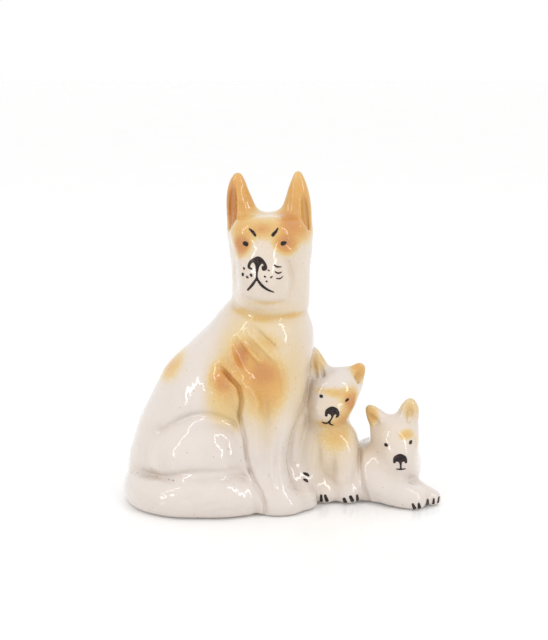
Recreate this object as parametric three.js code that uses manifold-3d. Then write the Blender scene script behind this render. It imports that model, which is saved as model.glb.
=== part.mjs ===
// Glazed porcelain figurine of three dogs: a mother who sits with her tail laid along the base, a puppy that
// sits against her chest, and a puppy that lies beside it. Millimetres, +Z up. The faces look towards -Y and
// the origin is under the middle of the group, on the surface it stands on.
//
// The bodies and the mother's head are slip-cast shells, closed but for the small vents that let the steam
// out in the kiln. The ears, the puppies' heads and the tail are solid pressings. Every piece is luted to its
// neighbour across a thin seam. Each black feature is a raised pad of enamel, the shape of its brush stroke.

import * as THREE from 'three';
import { mergeVertices } from 'three/addons/utils/BufferGeometryUtils.js';
import Module from 'manifold-3d';

const wasm = await Module();
wasm.setup();

// ---- Driving sizes ------------------------------------------------------------------------------

// Porcelain
const SEAM = 0.3;               // luted seam between two pieces
const WALL = 4;                 // wall and foot of the mother's shell
const PUPPY_WALL = 3.5;         // wall and foot of a puppy's shell
const VENT_HOLE = 3.8;          // diameter of a vent

// Enamel
const ENAMEL_GAP = 0.15;        // from the glaze to the underside of a pad
const ENAMEL_RISE = 0.45;       // thickness of a pad
const STROKE = 1.4;             // width of a painted line
const FINE_STROKE = 1.1;        // width of a puppy's mouth line
const CLAW = 1.3;               // width of a claw
const WHISKER_DOT = 1.3;        // diameter of a whisker spot
const EYE_DOT = 2.3;
const PUPPY_EYE_DOT = 1.9;

// Mother
const RUMP_RADIUS = 31.5;
const CHEST_RADIUS = 24;
const NECK_HEIGHT = 98.5;       // seam between body and head
const HEAD_RADIUS = 19.8;
const SKULL_HEIGHT = 47.3;      // from the neck seam to the top of the skull
const MUZZLE_REACH = 29.5;      // from the middle of the neck to the tip of the muzzle
const EAR_HEIGHT = 68;          // from the neck seam to the tips of the ears
const EAR_RADIUS = 9.4;
const HAUNCH_RADIUS = 24.3;
const LEG_RADIUS = 7.2;
const TAIL_RADIUS = 11.2;

// Puppy that sits
const SITTING_RADIUS = 15;
const SITTING_CHIN_HEIGHT = 42;
const SITTING_HEAD_RADIUS = 13.2;
const SITTING_EAR_LENGTH = 16;
const PUPPY_LEG_RADIUS = 5.6;

// Puppy that lies
const LYING_RADIUS = 18;
const LYING_CHIN_HEIGHT = 22;
const LYING_HEAD_RADIUS = 12.4;
const LYING_EAR_LENGTH = 12;
const PAW_RADIUS = 6.6;

// Where each figure stands
const RUMP = { x: -43, y: 4 };
const NECK = { x: -5.3, y: -1 };
const SITTING = { x: 24, y: 5 };
const LYING = { x: 55, y: 4 };

// Facets
const OUTER_FACET = 10;         // width of a facet on the outside
const INNER_FACET = 18;         // width of a facet inside a shell
const FEWEST_SIDES = 10;
const LIMB_SIDES = 8;
const CAP_STEPS = 2;
const STROKE_CAP_STEPS = 2;

// How far a stamp or a cutting block reaches past everything
const FAR = 200;

// ---- Materials ----------------------------------------------------------------------------------

const porcelain = new THREE.MeshStandardMaterial({ color: 0xe9ded0, roughness: 0.16, metalness: 0 });
const amberPorcelain = new THREE.MeshStandardMaterial({ color: 0xd9a45f, roughness: 0.16, metalness: 0 });
const blackEnamel = new THREE.MeshStandardMaterial({ color: 0x2a2022, roughness: 0.25, metalness: 0 });

// ---- Lumps: the rounded masses that every form is pressed together from -------------------------

// An egg is an ellipsoid. Its tilt is in degrees about Y.
const egg = (centre, radii, tilt = 0) => ({ centre, radii, tilt });

// A limb is a chain of [x, y, z, radius] stations with a tapered, round-ended rod between neighbours.
// Its depth squashes it along Y about its first station.
const limb = (stations, depth = 1) => ({ stations, depth });

// The number of facets comes from the egg's own size, so that a grown egg keeps them in line with the egg.
function eggGeometry({ centre, radii, tilt }, grow, facet) {
  const sides = Math.max(FEWEST_SIDES, Math.round((2 * Math.PI * Math.max(...radii)) / facet));
  const geometry = new THREE.SphereGeometry(1, sides, Math.ceil(sides / 2) + 1);
  geometry.scale(radii[0] + grow, radii[1] + grow, radii[2] + grow);
  geometry.rotateY(THREE.MathUtils.degToRad(tilt));
  geometry.translate(...centre);
  return geometry;
}

function rodGeometry(start, end, depth, grow) {
  const from = new THREE.Vector3(...start);
  const axis = new THREE.Vector3(...end).sub(from);
  const length = axis.length();
  const startRadius = start[3] + grow;
  const endRadius = end[3] + grow;
  const lean = Math.asin((startRadius - endRadius) / length);
  const profile = [];
  for (let step = 0; step <= CAP_STEPS; step += 1) {
    const angle = THREE.MathUtils.lerp(-Math.PI / 2, lean, step / CAP_STEPS);
    profile.push(new THREE.Vector2(startRadius * Math.cos(angle), startRadius * Math.sin(angle)));
  }
  for (let step = 0; step <= CAP_STEPS; step += 1) {
    const angle = THREE.MathUtils.lerp(lean, Math.PI / 2, step / CAP_STEPS);
    profile.push(new THREE.Vector2(endRadius * Math.cos(angle), length + endRadius * Math.sin(angle)));
  }
  const up = new THREE.Vector3(0, 1, 0);
  const geometry = new THREE.LatheGeometry(profile, LIMB_SIDES);
  geometry.applyQuaternion(new THREE.Quaternion().setFromUnitVectors(up, axis.normalize()));
  geometry.translate(...from);
  geometry.translate(0, -start[1], 0);
  geometry.scale(1, depth, 1);
  geometry.translate(0, start[1], 0);
  return geometry;
}

// ---- Solids -------------------------------------------------------------------------------------

// Turns a closed geometry into a solid: vertices at one place become one, and the flat triangles at a pole
// go.
function solidOf(geometry) {
  geometry.deleteAttribute('normal');
  geometry.deleteAttribute('uv');
  const merged = mergeVertices(geometry);
  const corners = merged.index.array;
  const triangles = [];
  for (let first = 0; first < corners.length; first += 3) {
    const triangle = corners.slice(first, first + 3);
    if (new Set(triangle).size === 3) triangles.push(...triangle);
  }
  const vertProperties = merged.attributes.position.array;
  const triVerts = new Uint32Array(triangles);
  return new wasm.Manifold(new wasm.Mesh({ numProp: 3, vertProperties, triVerts }));
}

const join = (solids) => solids.reduce((whole, solid) => whole.add(solid));

// Joins lumps into one solid, with every radius grown by the same amount.
function mass(lumps, grow = 0, facet = OUTER_FACET) {
  const geometries = Object.values(lumps).flatMap((lump) => (lump.radii
    ? [eggGeometry(lump, grow, facet)]
    : lump.stations.slice(1).map((end, i) => rodGeometry(lump.stations[i], end, lump.depth, grow))));
  return join(geometries.map(solidOf));
}

// A block that fills everything above a height.
function above(height) {
  const block = new THREE.BoxGeometry(2 * FAR, 2 * FAR, FAR);
  block.translate(0, 0, height + FAR / 2);
  return solidOf(block);
}

// An upright round cutter that passes through the walls above and below a height.
function vent(x, y, z) {
  const cutter = new THREE.CylinderGeometry(VENT_HOLE / 2, VENT_HOLE / 2, 3 * WALL, LIMB_SIDES);
  cutter.rotateX(Math.PI / 2);
  cutter.translate(x, y, z);
  return solidOf(cutter);
}

// ---- Mother: body, tail, head and ears ----------------------------------------------------------

const motherBulk = {
  rump: egg([RUMP.x, RUMP.y, 15], [RUMP_RADIUS + 4, RUMP_RADIUS, 29]),
  back: limb([
    [RUMP.x + 1, RUMP.y, 31, RUMP_RADIUS],
    [RUMP.x + 9, RUMP.y - 1, 50.5, RUMP_RADIUS - 1.7],
    [NECK.x - 4.7, 0, NECK_HEIGHT - 14.5, CHEST_RADIUS - 1],
  ]),
  shoulders: egg([NECK.x - 3.2, NECK.y, NECK_HEIGHT - 12.5], [CHEST_RADIUS + 0.5, CHEST_RADIUS - 0.5, 24]),
  breast: egg(
    [NECK.x + 1.8, NECK.y - 2, NECK_HEIGHT * 0.6],
    [CHEST_RADIUS - 4.2, CHEST_RADIUS - 1.5, NECK_HEIGHT * 0.395],
  ),
  loin: egg([NECK.x + 6, 3, 40], [12, 16, 27]),
};

const motherRelief = {
  nearHaunch: egg([RUMP.x + 2, RUMP.y - 19, HAUNCH_RADIUS], [HAUNCH_RADIUS, 20.5, HAUNCH_RADIUS]),
  farHaunch: egg([RUMP.x + 2, RUMP.y + 16, HAUNCH_RADIUS], [HAUNCH_RADIUS, 17, HAUNCH_RADIUS]),
  shoulderBlade: egg([NECK.x - 16.2, -15, NECK_HEIGHT - 26.5], [10.5, 9.5, 20], 22),
  ribs: egg([-29, -17.5, 60], [8, 10, 16.5], -10),
  nearLeg: limb([
    [-22, -19, 76, LEG_RADIUS - 1.2],
    [-15.5, -23, 54, LEG_RADIUS],
    [-11.5, -22.8, 30, LEG_RADIUS - 0.2],
    [-10.5, -25, 10, LEG_RADIUS + 0.3],
  ]),
  farLeg: limb([
    [-1, -16, 58, LEG_RADIUS + 1.8],
    [-1.8, -20, 30, LEG_RADIUS + 0.5],
    [-0.5, -23.5, 9, LEG_RADIUS + 0.8],
  ]),
  nearPaw: egg([-2, -26, 4.5], [13, LEG_RADIUS + 1.3, 8]),
  farPaw: egg([7.5, -18, 3.5], [9.5, LEG_RADIUS + 1.8, 7.5]),
  instep: egg([6, -6, 6], [11, 12, 9]),
};

const headBulk = {
  skull: egg(
    [NECK.x, NECK.y + 1, NECK_HEIGHT + SKULL_HEIGHT - 16.3],
    [HEAD_RADIUS + 0.2, HEAD_RADIUS + 0.2, 16.3],
  ),
  throat: limb([
    [NECK.x, NECK.y, NECK_HEIGHT + 5.5, HEAD_RADIUS - 0.4],
    [NECK.x, NECK.y + 0.5, NECK_HEIGHT + SKULL_HEIGHT - 21.3, HEAD_RADIUS],
  ]),
  ruff: egg([NECK.x, NECK.y - 0.5, NECK_HEIGHT + 4.5], [HEAD_RADIUS, HEAD_RADIUS + 0.7, 9]),
};

const muzzle = { x: NECK.x - 3.1, y: NECK.y - MUZZLE_REACH };
const headRelief = {
  muzzle: egg([muzzle.x, muzzle.y + 16.5, NECK_HEIGHT + 19], [11.3, 15.7, 12.4]),
  bridge: limb([
    [muzzle.x, NECK.y - 12, NECK_HEIGHT + 35, 8],
    [muzzle.x - 2.4, muzzle.y + 8.5, NECK_HEIGHT + 23.5, 8.2],
  ]),
  chin: egg([muzzle.x, NECK.y - 15, NECK_HEIGHT + 11], [9.2, 10.2, 6.5]),
  leftBrow: egg([NECK.x - 11, NECK.y - 11.7, NECK_HEIGHT + 39.5], [6.4, 5.6, 5]),
  rightBrow: egg([NECK.x + 5, NECK.y - 12.2, NECK_HEIGHT + 39.5], [7, 5.6, 5]),
};

// An ear rises from inside the skull, leans outwards and has a hollow pressed into its front.
const EAR_DEPTH = 0.72;
const earTip = NECK_HEIGHT + EAR_HEIGHT;
const motherEars = {
  left: {
    lump: limb([
      [NECK.x - 11.7, NECK.y + 0.5, earTip - 27, EAR_RADIUS],
      [NECK.x - 13.3, NECK.y + 0.5, earTip - 19.5, EAR_RADIUS - 0.9],
      [NECK.x - 15, NECK.y + 0.5, earTip - 11, EAR_RADIUS - 3],
      [NECK.x - 16.9, NECK.y + 0.5, earTip - 2, EAR_RADIUS - 7.3],
    ], EAR_DEPTH),
    hollow: egg([NECK.x - 19.7, NECK.y - 7, earTip - 15], [3.4, 5.4, 12.5], -38),
  },
  right: {
    lump: limb([
      [NECK.x + 10.3, NECK.y + 0.5, earTip - 26, EAR_RADIUS],
      [NECK.x + 11.8, NECK.y + 0.5, earTip - 18.5, EAR_RADIUS - 1.2],
      [NECK.x + 12.6, NECK.y + 0.5, earTip - 10.5, EAR_RADIUS - 3.2],
      [NECK.x + 13, NECK.y + 0.5, earTip - 1.3, EAR_RADIUS - 7.3],
    ], EAR_DEPTH),
    hollow: egg([NECK.x + 15.8, NECK.y - 7.6, earTip - 19], [3, 4.6, 12.5], 18),
  },
};

// The tail lies on the ground, flattened by it. It runs round the rump as a quarter of an ellipse and then
// straight along the front of the base. The ellipse is set back from the outside of the tail.
const TAIL_HEIGHT = TAIL_RADIUS - 2.4;
const tailRing = { width: RUMP_RADIUS + 6.2 - TAIL_RADIUS, depth: RUMP_RADIUS + 12.4 - TAIL_RADIUS };
function tailStation(degrees) {
  const angle = THREE.MathUtils.degToRad(degrees);
  const x = RUMP.x + tailRing.width * Math.cos(angle);
  return [x, RUMP.y + tailRing.depth * Math.sin(angle), TAIL_HEIGHT, TAIL_RADIUS];
}
const tail = {
  curl: limb([160, 200, 235, 265].map(tailStation)),
  tip: limb([
    tailStation(265),
    [-30, RUMP.y - tailRing.depth, TAIL_HEIGHT, TAIL_RADIUS],
    [-19.5, RUMP.y - tailRing.depth + 2.2, TAIL_HEIGHT - 0.8, TAIL_RADIUS - 0.9],
  ]),
};

// ---- Puppy that sits ----------------------------------------------------------------------------

const sittingBulk = {
  belly: egg([SITTING.x, SITTING.y + 1, 23], [SITTING_RADIUS, SITTING_RADIUS, SITTING_CHIN_HEIGHT - 18]),
};

const sittingHollow = {
  belly: egg(
    [SITTING.x + 3, SITTING.y + 3, 20],
    [SITTING_RADIUS - 5.5, SITTING_RADIUS - 5.5, 20 - PUPPY_WALL],
  ),
};

const sittingRelief = {
  haunch: egg([SITTING.x + 9.5, SITTING.y - 1, 14], [7, 11, 14]),
  chest: egg([SITTING.x, SITTING.y - 9, SITTING_CHIN_HEIGHT - 14], [10.5, 10, 14]),
  leftForeleg: limb([
    [SITTING.x - 8, SITTING.y - 8, SITTING_CHIN_HEIGHT - 6, PUPPY_LEG_RADIUS + 0.4],
    [SITTING.x - 11.2, SITTING.y - 13, 26, PUPPY_LEG_RADIUS - 0.2],
    [SITTING.x - 11.5, SITTING.y - 14.5, 15, PUPPY_LEG_RADIUS],
  ]),
  rightForeleg: limb([
    [SITTING.x + 8, SITTING.y - 8, SITTING_CHIN_HEIGHT - 9, PUPPY_LEG_RADIUS + 0.8],
    [SITTING.x + 7.5, SITTING.y - 12.5, 25, PUPPY_LEG_RADIUS + 0.4],
    [SITTING.x + 5.5, SITTING.y - 14.5, 17, PUPPY_LEG_RADIUS + 0.4],
  ]),
  leftHindPaw: egg([SITTING.x - 2, SITTING.y - 12.5, 5], [PAW_RADIUS, 8, PAW_RADIUS]),
  rightHindPaw: egg([SITTING.x + 9.5, SITTING.y - 13, 5.5], [PAW_RADIUS + 1, 8, PAW_RADIUS + 0.4]),
  seat: egg([SITTING.x - 9, SITTING.y - 9, 8], [9, 10, 9]),
};

const sittingFace = { x: SITTING.x + 1.5, y: SITTING.y - 5, z: SITTING_CHIN_HEIGHT + 14.5 };
const sittingHead = {
  skull: egg(
    [sittingFace.x + 2, sittingFace.y, sittingFace.z],
    [SITTING_HEAD_RADIUS, SITTING_HEAD_RADIUS - 0.2, SITTING_HEAD_RADIUS - 2.6],
  ),
  leftCheek: egg([sittingFace.x - 4.5, sittingFace.y - 2, sittingFace.z - 6.3], [7.2, 10.2, 12]),
  rightCheek: egg([sittingFace.x + 6.5, sittingFace.y - 2, sittingFace.z - 4], [7.4, 10, 9.5]),
  muzzle: egg([sittingFace.x - 0.2, sittingFace.y - 6.5, sittingFace.z - 9], [9.4, 10.8, 8.3]),
};

const sittingEars = {
  left: {
    lump: limb([
      [sittingFace.x - 5.5, sittingFace.y + 2, sittingFace.z + 5.5, 6.4],
      [sittingFace.x - 7.2, sittingFace.y + 2, sittingFace.z + SITTING_EAR_LENGTH - 4, 4.4],
      [sittingFace.x - 8.6, sittingFace.y + 2, sittingFace.z + SITTING_EAR_LENGTH + 4, 1.5],
    ], EAR_DEPTH),
    hollow: egg(
      [sittingFace.x - 8.5, sittingFace.y - 3.4, sittingFace.z + SITTING_EAR_LENGTH - 3],
      [1.8, 3, 6],
      -10,
    ),
  },
  right: {
    lump: limb([
      [sittingFace.x + 9, sittingFace.y + 2, sittingFace.z + 4, 6.4],
      [sittingFace.x + 12, sittingFace.y + 2, sittingFace.z + SITTING_EAR_LENGTH - 8.3, 4.6],
      [sittingFace.x + 13.9, sittingFace.y + 2, sittingFace.z + SITTING_EAR_LENGTH - 6, 3.2],
    ], EAR_DEPTH),
    hollow: egg(
      [sittingFace.x + 14.3, sittingFace.y - 3, sittingFace.z + SITTING_EAR_LENGTH - 8],
      [2.2, 3.2, 5.5],
      35,
    ),
  },
};

// ---- Puppy that lies ----------------------------------------------------------------------------

const lyingBulk = {
  belly: egg([LYING.x - 3, LYING.y + 5, 13], [LYING_RADIUS + 2, LYING_RADIUS, LYING_RADIUS - 1.5]),
};

const lyingHollow = {
  belly: egg([LYING.x, LYING.y + 7, 11], [LYING_RADIUS - 4, LYING_RADIUS - 6, 11 - PUPPY_WALL]),
};

const lyingRelief = {
  shoulder: egg([LYING.x - 6, LYING.y - 8, 15], [11, 11, LYING_RADIUS - 2]),
  breast: egg([LYING.x + 3, LYING.y - 5, LYING_CHIN_HEIGHT - 2], [12, 12, 12]),
  flank: egg([LYING.x - 13, LYING.y - 2, 6], [14, 15, 10]),
  nearForeleg: limb([
    [LYING.x - 5, LYING.y - 13, 9, PAW_RADIUS + 2.4],
    [LYING.x + 3, LYING.y - 19, 7, PAW_RADIUS + 1.4],
    [LYING.x + 11, LYING.y - 22.5, 4.5, PAW_RADIUS - 0.1],
  ]),
  farForeleg: limb([
    [LYING.x + 5, LYING.y - 8, 10, PAW_RADIUS + 2.4],
    [LYING.x + 13, LYING.y - 14, 6.5, PAW_RADIUS + 0.9],
    [LYING.x + 20, LYING.y - 17, 3.5, PAW_RADIUS - 1.1],
  ]),
};

const lyingFace = { x: LYING.x + 2.5, y: LYING.y - 6, z: LYING_CHIN_HEIGHT + 11.5 };
const lyingHead = {
  skull: egg(
    [lyingFace.x, lyingFace.y, lyingFace.z],
    [LYING_HEAD_RADIUS, LYING_HEAD_RADIUS + 0.6, LYING_HEAD_RADIUS - 0.9],
  ),
  muzzle: egg([lyingFace.x + 1.5, lyingFace.y - 8.5, lyingFace.z - 8], [8.8, 8.9, 8.8]),
};

const lyingEars = {
  left: {
    lump: limb([
      [lyingFace.x - 6.5, lyingFace.y + 1, lyingFace.z + 5, 6],
      [lyingFace.x - 10.3, lyingFace.y + 1, lyingFace.z + LYING_EAR_LENGTH - 3, 4.2],
      [lyingFace.x - 12.9, lyingFace.y + 1, lyingFace.z + LYING_EAR_LENGTH - 0.5, 2.4],
    ], EAR_DEPTH),
    hollow: egg(
      [lyingFace.x - 12.5, lyingFace.y - 3.6, lyingFace.z + LYING_EAR_LENGTH - 3.5],
      [1.8, 3, 5],
      -50,
    ),
  },
  right: {
    lump: limb([
      [lyingFace.x + 5.5, lyingFace.y + 1, lyingFace.z + 6.5, 6.4],
      [lyingFace.x + 7.1, lyingFace.y + 1, lyingFace.z + LYING_EAR_LENGTH, 5],
      [lyingFace.x + 7.5, lyingFace.y + 1, lyingFace.z + LYING_EAR_LENGTH + 3.5, 3],
    ], EAR_DEPTH),
    hollow: egg(
      [lyingFace.x + 7, lyingFace.y - 4.2, lyingFace.z + LYING_EAR_LENGTH - 1],
      [2, 3, 5.5],
      5,
    ),
  },
};

// ---- Porcelain pieces ---------------------------------------------------------------------------

const floor = above(0);

const motherMass = mass({ ...motherBulk, ...motherRelief });
const motherClear = mass({ ...motherBulk, ...motherRelief }, SEAM);
const headMass = mass({ ...headBulk, ...headRelief });
const headClear = mass({ ...headBulk, ...headRelief }, SEAM).intersect(above(NECK_HEIGHT - SEAM));
const headAndNeckClear = headClear.add(motherClear);

const neckVent = vent(NECK.x, NECK.y, NECK_HEIGHT);
const motherHollow = mass(motherBulk, -WALL, INNER_FACET)
  .intersect(above(WALL))
  .subtract(above(NECK_HEIGHT - WALL));
const motherBody = motherMass
  .intersect(floor)
  .subtract(headClear)
  .subtract(motherHollow)
  .subtract(vent(RUMP.x, RUMP.y, 0))
  .subtract(neckVent);
const headHollow = mass(headBulk, -WALL, INNER_FACET).intersect(above(NECK_HEIGHT + WALL));
const motherHead = headMass
  .intersect(above(NECK_HEIGHT))
  .subtract(headHollow)
  .subtract(neckVent);
const motherTail = mass(tail).intersect(floor).subtract(motherClear);
const ear = ({ lump, hollow }, clearOf) => mass({ lump }).subtract(mass({ hollow })).subtract(clearOf);

const sittingHeadMass = mass(sittingHead);
const sittingHeadClear = mass(sittingHead, SEAM);
const sittingMass = mass({ ...sittingBulk, ...sittingRelief });
const sittingClear = mass({ ...sittingBulk, ...sittingRelief }, SEAM);
const sittingBody = sittingMass
  .intersect(floor)
  .subtract(sittingHeadClear)
  .subtract(motherClear)
  .subtract(mass(sittingHollow, 0, INNER_FACET))
  .subtract(vent(SITTING.x + 3, SITTING.y + 3, 0));

const lyingHeadMass = mass(lyingHead);
const lyingHeadClear = mass(lyingHead, SEAM);
const lyingMass = mass({ ...lyingBulk, ...lyingRelief });
const lyingBody = lyingMass
  .intersect(floor)
  .subtract(lyingHeadClear)
  .subtract(sittingClear)
  .subtract(sittingHeadClear)
  .subtract(mass(lyingHollow, 0, INNER_FACET))
  .subtract(vent(LYING.x, LYING.y + 7, 0));

// ---- Enamel stamps ------------------------------------------------------------------------------

// Offsets a run of [x, z] points to both sides and rounds its ends, as a loaded brush does.
function strokeShape(points, width) {
  const radius = width / 2;
  const path = points.map(([x, z]) => new THREE.Vector2(x, z));
  const heading = (i) => {
    const before = path[Math.max(i - 1, 0)];
    const after = path[Math.min(i + 1, path.length - 1)];
    return after.clone().sub(before).angle();
  };
  const round = (centre, start) => Array.from({ length: STROKE_CAP_STEPS + 1 }, (_, step) => {
    const angle = start + (Math.PI * step) / STROKE_CAP_STEPS;
    return new THREE.Vector2(centre.x + radius * Math.cos(angle), centre.y + radius * Math.sin(angle));
  });
  const side = (i, turn) => {
    const angle = heading(i) + turn;
    return new THREE.Vector2(path[i].x + radius * Math.cos(angle), path[i].y + radius * Math.sin(angle));
  };
  const middle = path.map((_, i) => i).slice(1, -1);
  const last = path.length - 1;
  return new THREE.Shape([
    ...middle.map((i) => side(i, -Math.PI / 2)),
    ...round(path[last], heading(last) - Math.PI / 2),
    ...middle.reverse().map((i) => side(i, Math.PI / 2)),
    ...round(path[0], heading(0) + Math.PI / 2),
  ]);
}

// Extrudes an outline in X and Z along Y, from far in front of the object back to a depth.
function stamp(shape, back) {
  const geometry = new THREE.ExtrudeGeometry(shape, { depth: FAR, bevelEnabled: false });
  geometry.rotateX(Math.PI / 2);
  geometry.translate(0, back, 0);
  return solidOf(geometry);
}

const line = (points, width = STROKE) => strokeShape(points, width);
const spot = ([x, z], diameter) => strokeShape([[x, z - 0.2], [x, z + 0.2]], diameter);
const patch = (points) => new THREE.Shape(points.map(([x, z]) => new THREE.Vector2(x, z)));

// Moves an outline point from a face's own [across, up] coordinates to the object's.
const onFace = (face) => ([across, up]) => [face.x + across, face.z + up];

// The layer of enamel over a form, from which the stamps cut the pads.
const enamelOver = (lumps) => mass(lumps, ENAMEL_GAP + ENAMEL_RISE).subtract(mass(lumps, ENAMEL_GAP));

// ---- Enamel of the mother's face ----------------------------------------------------------------

const motherFace = { x: muzzle.x, z: NECK_HEIGHT + 19 };
const onMother = onFace(motherFace);
const motherEyeMarks = {
  mother_left_eye: [spot(onMother([-9.1, 16.1]), EYE_DOT)],
  mother_right_eye: [spot(onMother([9.4, 16.4]), EYE_DOT)],
  mother_left_brow: [line([[-7.1, 23.2], [-5.5, 21.9], [-4.2, 20]].map(onMother), STROKE)],
  mother_right_brow: [line([[6.5, 23.5], [5.4, 22], [3.9, 20.4]].map(onMother), STROKE + 0.2)],
};
const noseArch = [[-7.1, 5.4], [-7, 8.2], [-5.3, 9.9], [-2.9, 10.6], [-0.5, 9.7], [0.5, 7.9], [0.4, 5.7]];
const motherMuzzleMarks = {
  mother_nose_and_mouth: [
    line(noseArch.map(onMother), STROKE + 0.2),
    patch([[-5.6, 10], [-3.6, 6.4], [-3, 6.4], [-0.4, 9.6], [-2.9, 10.6]].map(onMother)),
    line([[-3.3, 8], [-3.6, 3.8], [-3.5, 0.6]].map(onMother)),
    line([[-3.4, 1.4], [-5.8, -2.2], [-7.9, -5.7]].map(onMother)),
    line([[-3.6, 1.4], [0.9, -3.2], [5.1, -6.3]].map(onMother)),
  ],
};
const leftWhiskers = [[-9.2, 4.8], [-9.8, 1.3], [-8.3, 1.1], [-6.4, 2.5]];
const rightWhiskers = [[2.2, 4.8], [0.3, 2.1], [3.6, 1.9], [1.2, -0.1]];
const whiskerLines = [[[4.7, 6.6], [8.1, 5]], [[5.4, 4], [8.2, 2.7]], [[6.3, 1], [9.1, 0.3]]];
leftWhiskers.forEach((place, i) => {
  motherMuzzleMarks[`mother_left_whisker_${i + 1}`] = [spot(onMother(place), WHISKER_DOT)];
});
rightWhiskers.forEach((place, i) => {
  motherMuzzleMarks[`mother_right_whisker_${i + 1}`] = [spot(onMother(place), WHISKER_DOT)];
});
whiskerLines.forEach((points, i) => {
  motherMuzzleMarks[`mother_whisker_line_${i + 1}`] = [line(points.map(onMother), STROKE - 0.4)];
});

// ---- Enamel of the puppies ----------------------------------------------------------------------

const onSitting = onFace(sittingFace);
const sittingMarks = {
  sitting_puppy_left_eye: [spot(onSitting([-5.8, -0.3]), PUPPY_EYE_DOT)],
  sitting_puppy_right_eye: [spot(onSitting([6.9, -2.4]), PUPPY_EYE_DOT)],
  sitting_puppy_nose_and_mouth: [
    line([[-3.4, -9.2], [-3, -6.7], [-0.5, -5.4], [2, -6.7], [2.2, -10.2]].map(onSitting), STROKE + 0.2),
    patch([[-3, -6.4], [-0.9, -8.6], [0.4, -8.6], [2, -6.4], [-0.5, -5.2]].map(onSitting)),
    line([[-0.4, -7.6], [-0.6, -10.4], [-1.8, -13]].map(onSitting), FINE_STROKE),
    line([[-5.2, -14.1], [-2, -13.5], [-0.3, -14.8]].map(onSitting), FINE_STROKE),
  ],
};

const sittingClaws = {
  sitting_puppy_forepaw_claw_1: [[-12.7, 15.7], [-10.6, 15.8]],
  sitting_puppy_forepaw_claw_2: [[-12.7, 13.1], [-10.6, 12.9]],
  sitting_puppy_left_hind_claw_1: [[-5.6, 7.3], [-5.6, 5]],
  sitting_puppy_left_hind_claw_2: [[-3.1, 6.9], [-3.1, 4.6]],
  sitting_puppy_right_hind_claw_1: [[6.3, 5.1], [6.7, 3.2]],
  sitting_puppy_right_hind_claw_2: [[9, 5.8], [10, 3.8]],
  sitting_puppy_right_hind_claw_3: [[12.6, 5.6], [12.6, 3.4]],
};

const onLying = onFace(lyingFace);
const lyingMarks = {
  lying_puppy_left_eye: [spot(onLying([-5.4, -1.9]), PUPPY_EYE_DOT)],
  lying_puppy_right_eye: [spot(onLying([6.9, -0.6]), PUPPY_EYE_DOT)],
  lying_puppy_nose_and_mouth: [
    line([[-1.4, -10.2], [-0.6, -7], [1.4, -6.1], [3.4, -7], [4.4, -10.3]].map(onLying), STROKE + 0.2),
    patch([[-1, -7.2], [0.7, -9.6], [2.2, -9.6], [3.8, -7.2], [1.4, -6]].map(onLying)),
    line([[1.4, -8.6], [1.6, -10.9], [1.8, -13.6]].map(onLying), STROKE - 0.2),
    line([[-0.2, -13.2], [1.9, -13.9], [4.2, -13.4]].map(onLying), FINE_STROKE),
  ],
};

const lyingClaws = {
  lying_puppy_claw_1: [[10.3, 4.4], [10.7, 2.4]],
  lying_puppy_claw_2: [[12.8, 4.6], [12.9, 2.6]],
  lying_puppy_claw_3: [[17.6, 4.2], [17.8, 2.4]],
  lying_puppy_claw_4: [[20.9, 4.3], [20.9, 2.5]],
  lying_puppy_claw_5: [[23.3, 4.2], [23.4, 2.8]],
};

// ---- Scene graph --------------------------------------------------------------------------------

const figurine = new THREE.Group();

// A group whose children keep their places in the object while the group sits at its own reference point.
function groupAt(parent, x, y, z) {
  const group = new THREE.Group();
  const origin = new THREE.Vector3(x, y, z);
  group.userData.origin = origin;
  group.position.copy(origin).sub(parent.userData.origin ?? new THREE.Vector3());
  parent.add(group);
  return group;
}

function addPiece(group, name, solid, material) {
  const { vertProperties, triVerts } = solid.getMesh();
  const geometry = new THREE.BufferGeometry();
  geometry.setAttribute('position', new THREE.BufferAttribute(vertProperties, 3));
  geometry.setIndex(new THREE.BufferAttribute(triVerts, 1));
  geometry.translate(...group.userData.origin.clone().negate());
  geometry.computeVertexNormals();
  const mesh = new THREE.Mesh(geometry, material);
  mesh.name = name;
  group.add(mesh);
}

function addMarks(group, marks, enamel, back) {
  for (const [name, shapes] of Object.entries(marks)) {
    const cutter = join(shapes.map((shape) => stamp(shape, back)));
    addPiece(group, name, enamel.intersect(cutter), blackEnamel);
  }
}

function addClaws(group, claws, enamel, figure, back) {
  const marks = {};
  for (const [name, points] of Object.entries(claws)) {
    marks[name] = [line(points.map(([across, up]) => [figure.x + across, up]), CLAW)];
  }
  addMarks(group, marks, enamel, back);
}

const mother = groupAt(figurine, RUMP.x, RUMP.y, 0);
addPiece(mother, 'mother_body', motherBody, porcelain);
addPiece(mother, 'mother_tail', motherTail, porcelain);
const motherTop = groupAt(mother, NECK.x, NECK.y, NECK_HEIGHT);
addPiece(motherTop, 'mother_head', motherHead, porcelain);
addPiece(motherTop, 'mother_left_ear', ear(motherEars.left, headAndNeckClear), amberPorcelain);
addPiece(motherTop, 'mother_right_ear', ear(motherEars.right, headAndNeckClear), amberPorcelain);
const motherEnamel = enamelOver({ ...headBulk, ...headRelief });
addMarks(motherTop, motherEyeMarks, motherEnamel, NECK.y - 10);
addMarks(motherTop, motherMuzzleMarks, motherEnamel, muzzle.y + 8);

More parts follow.
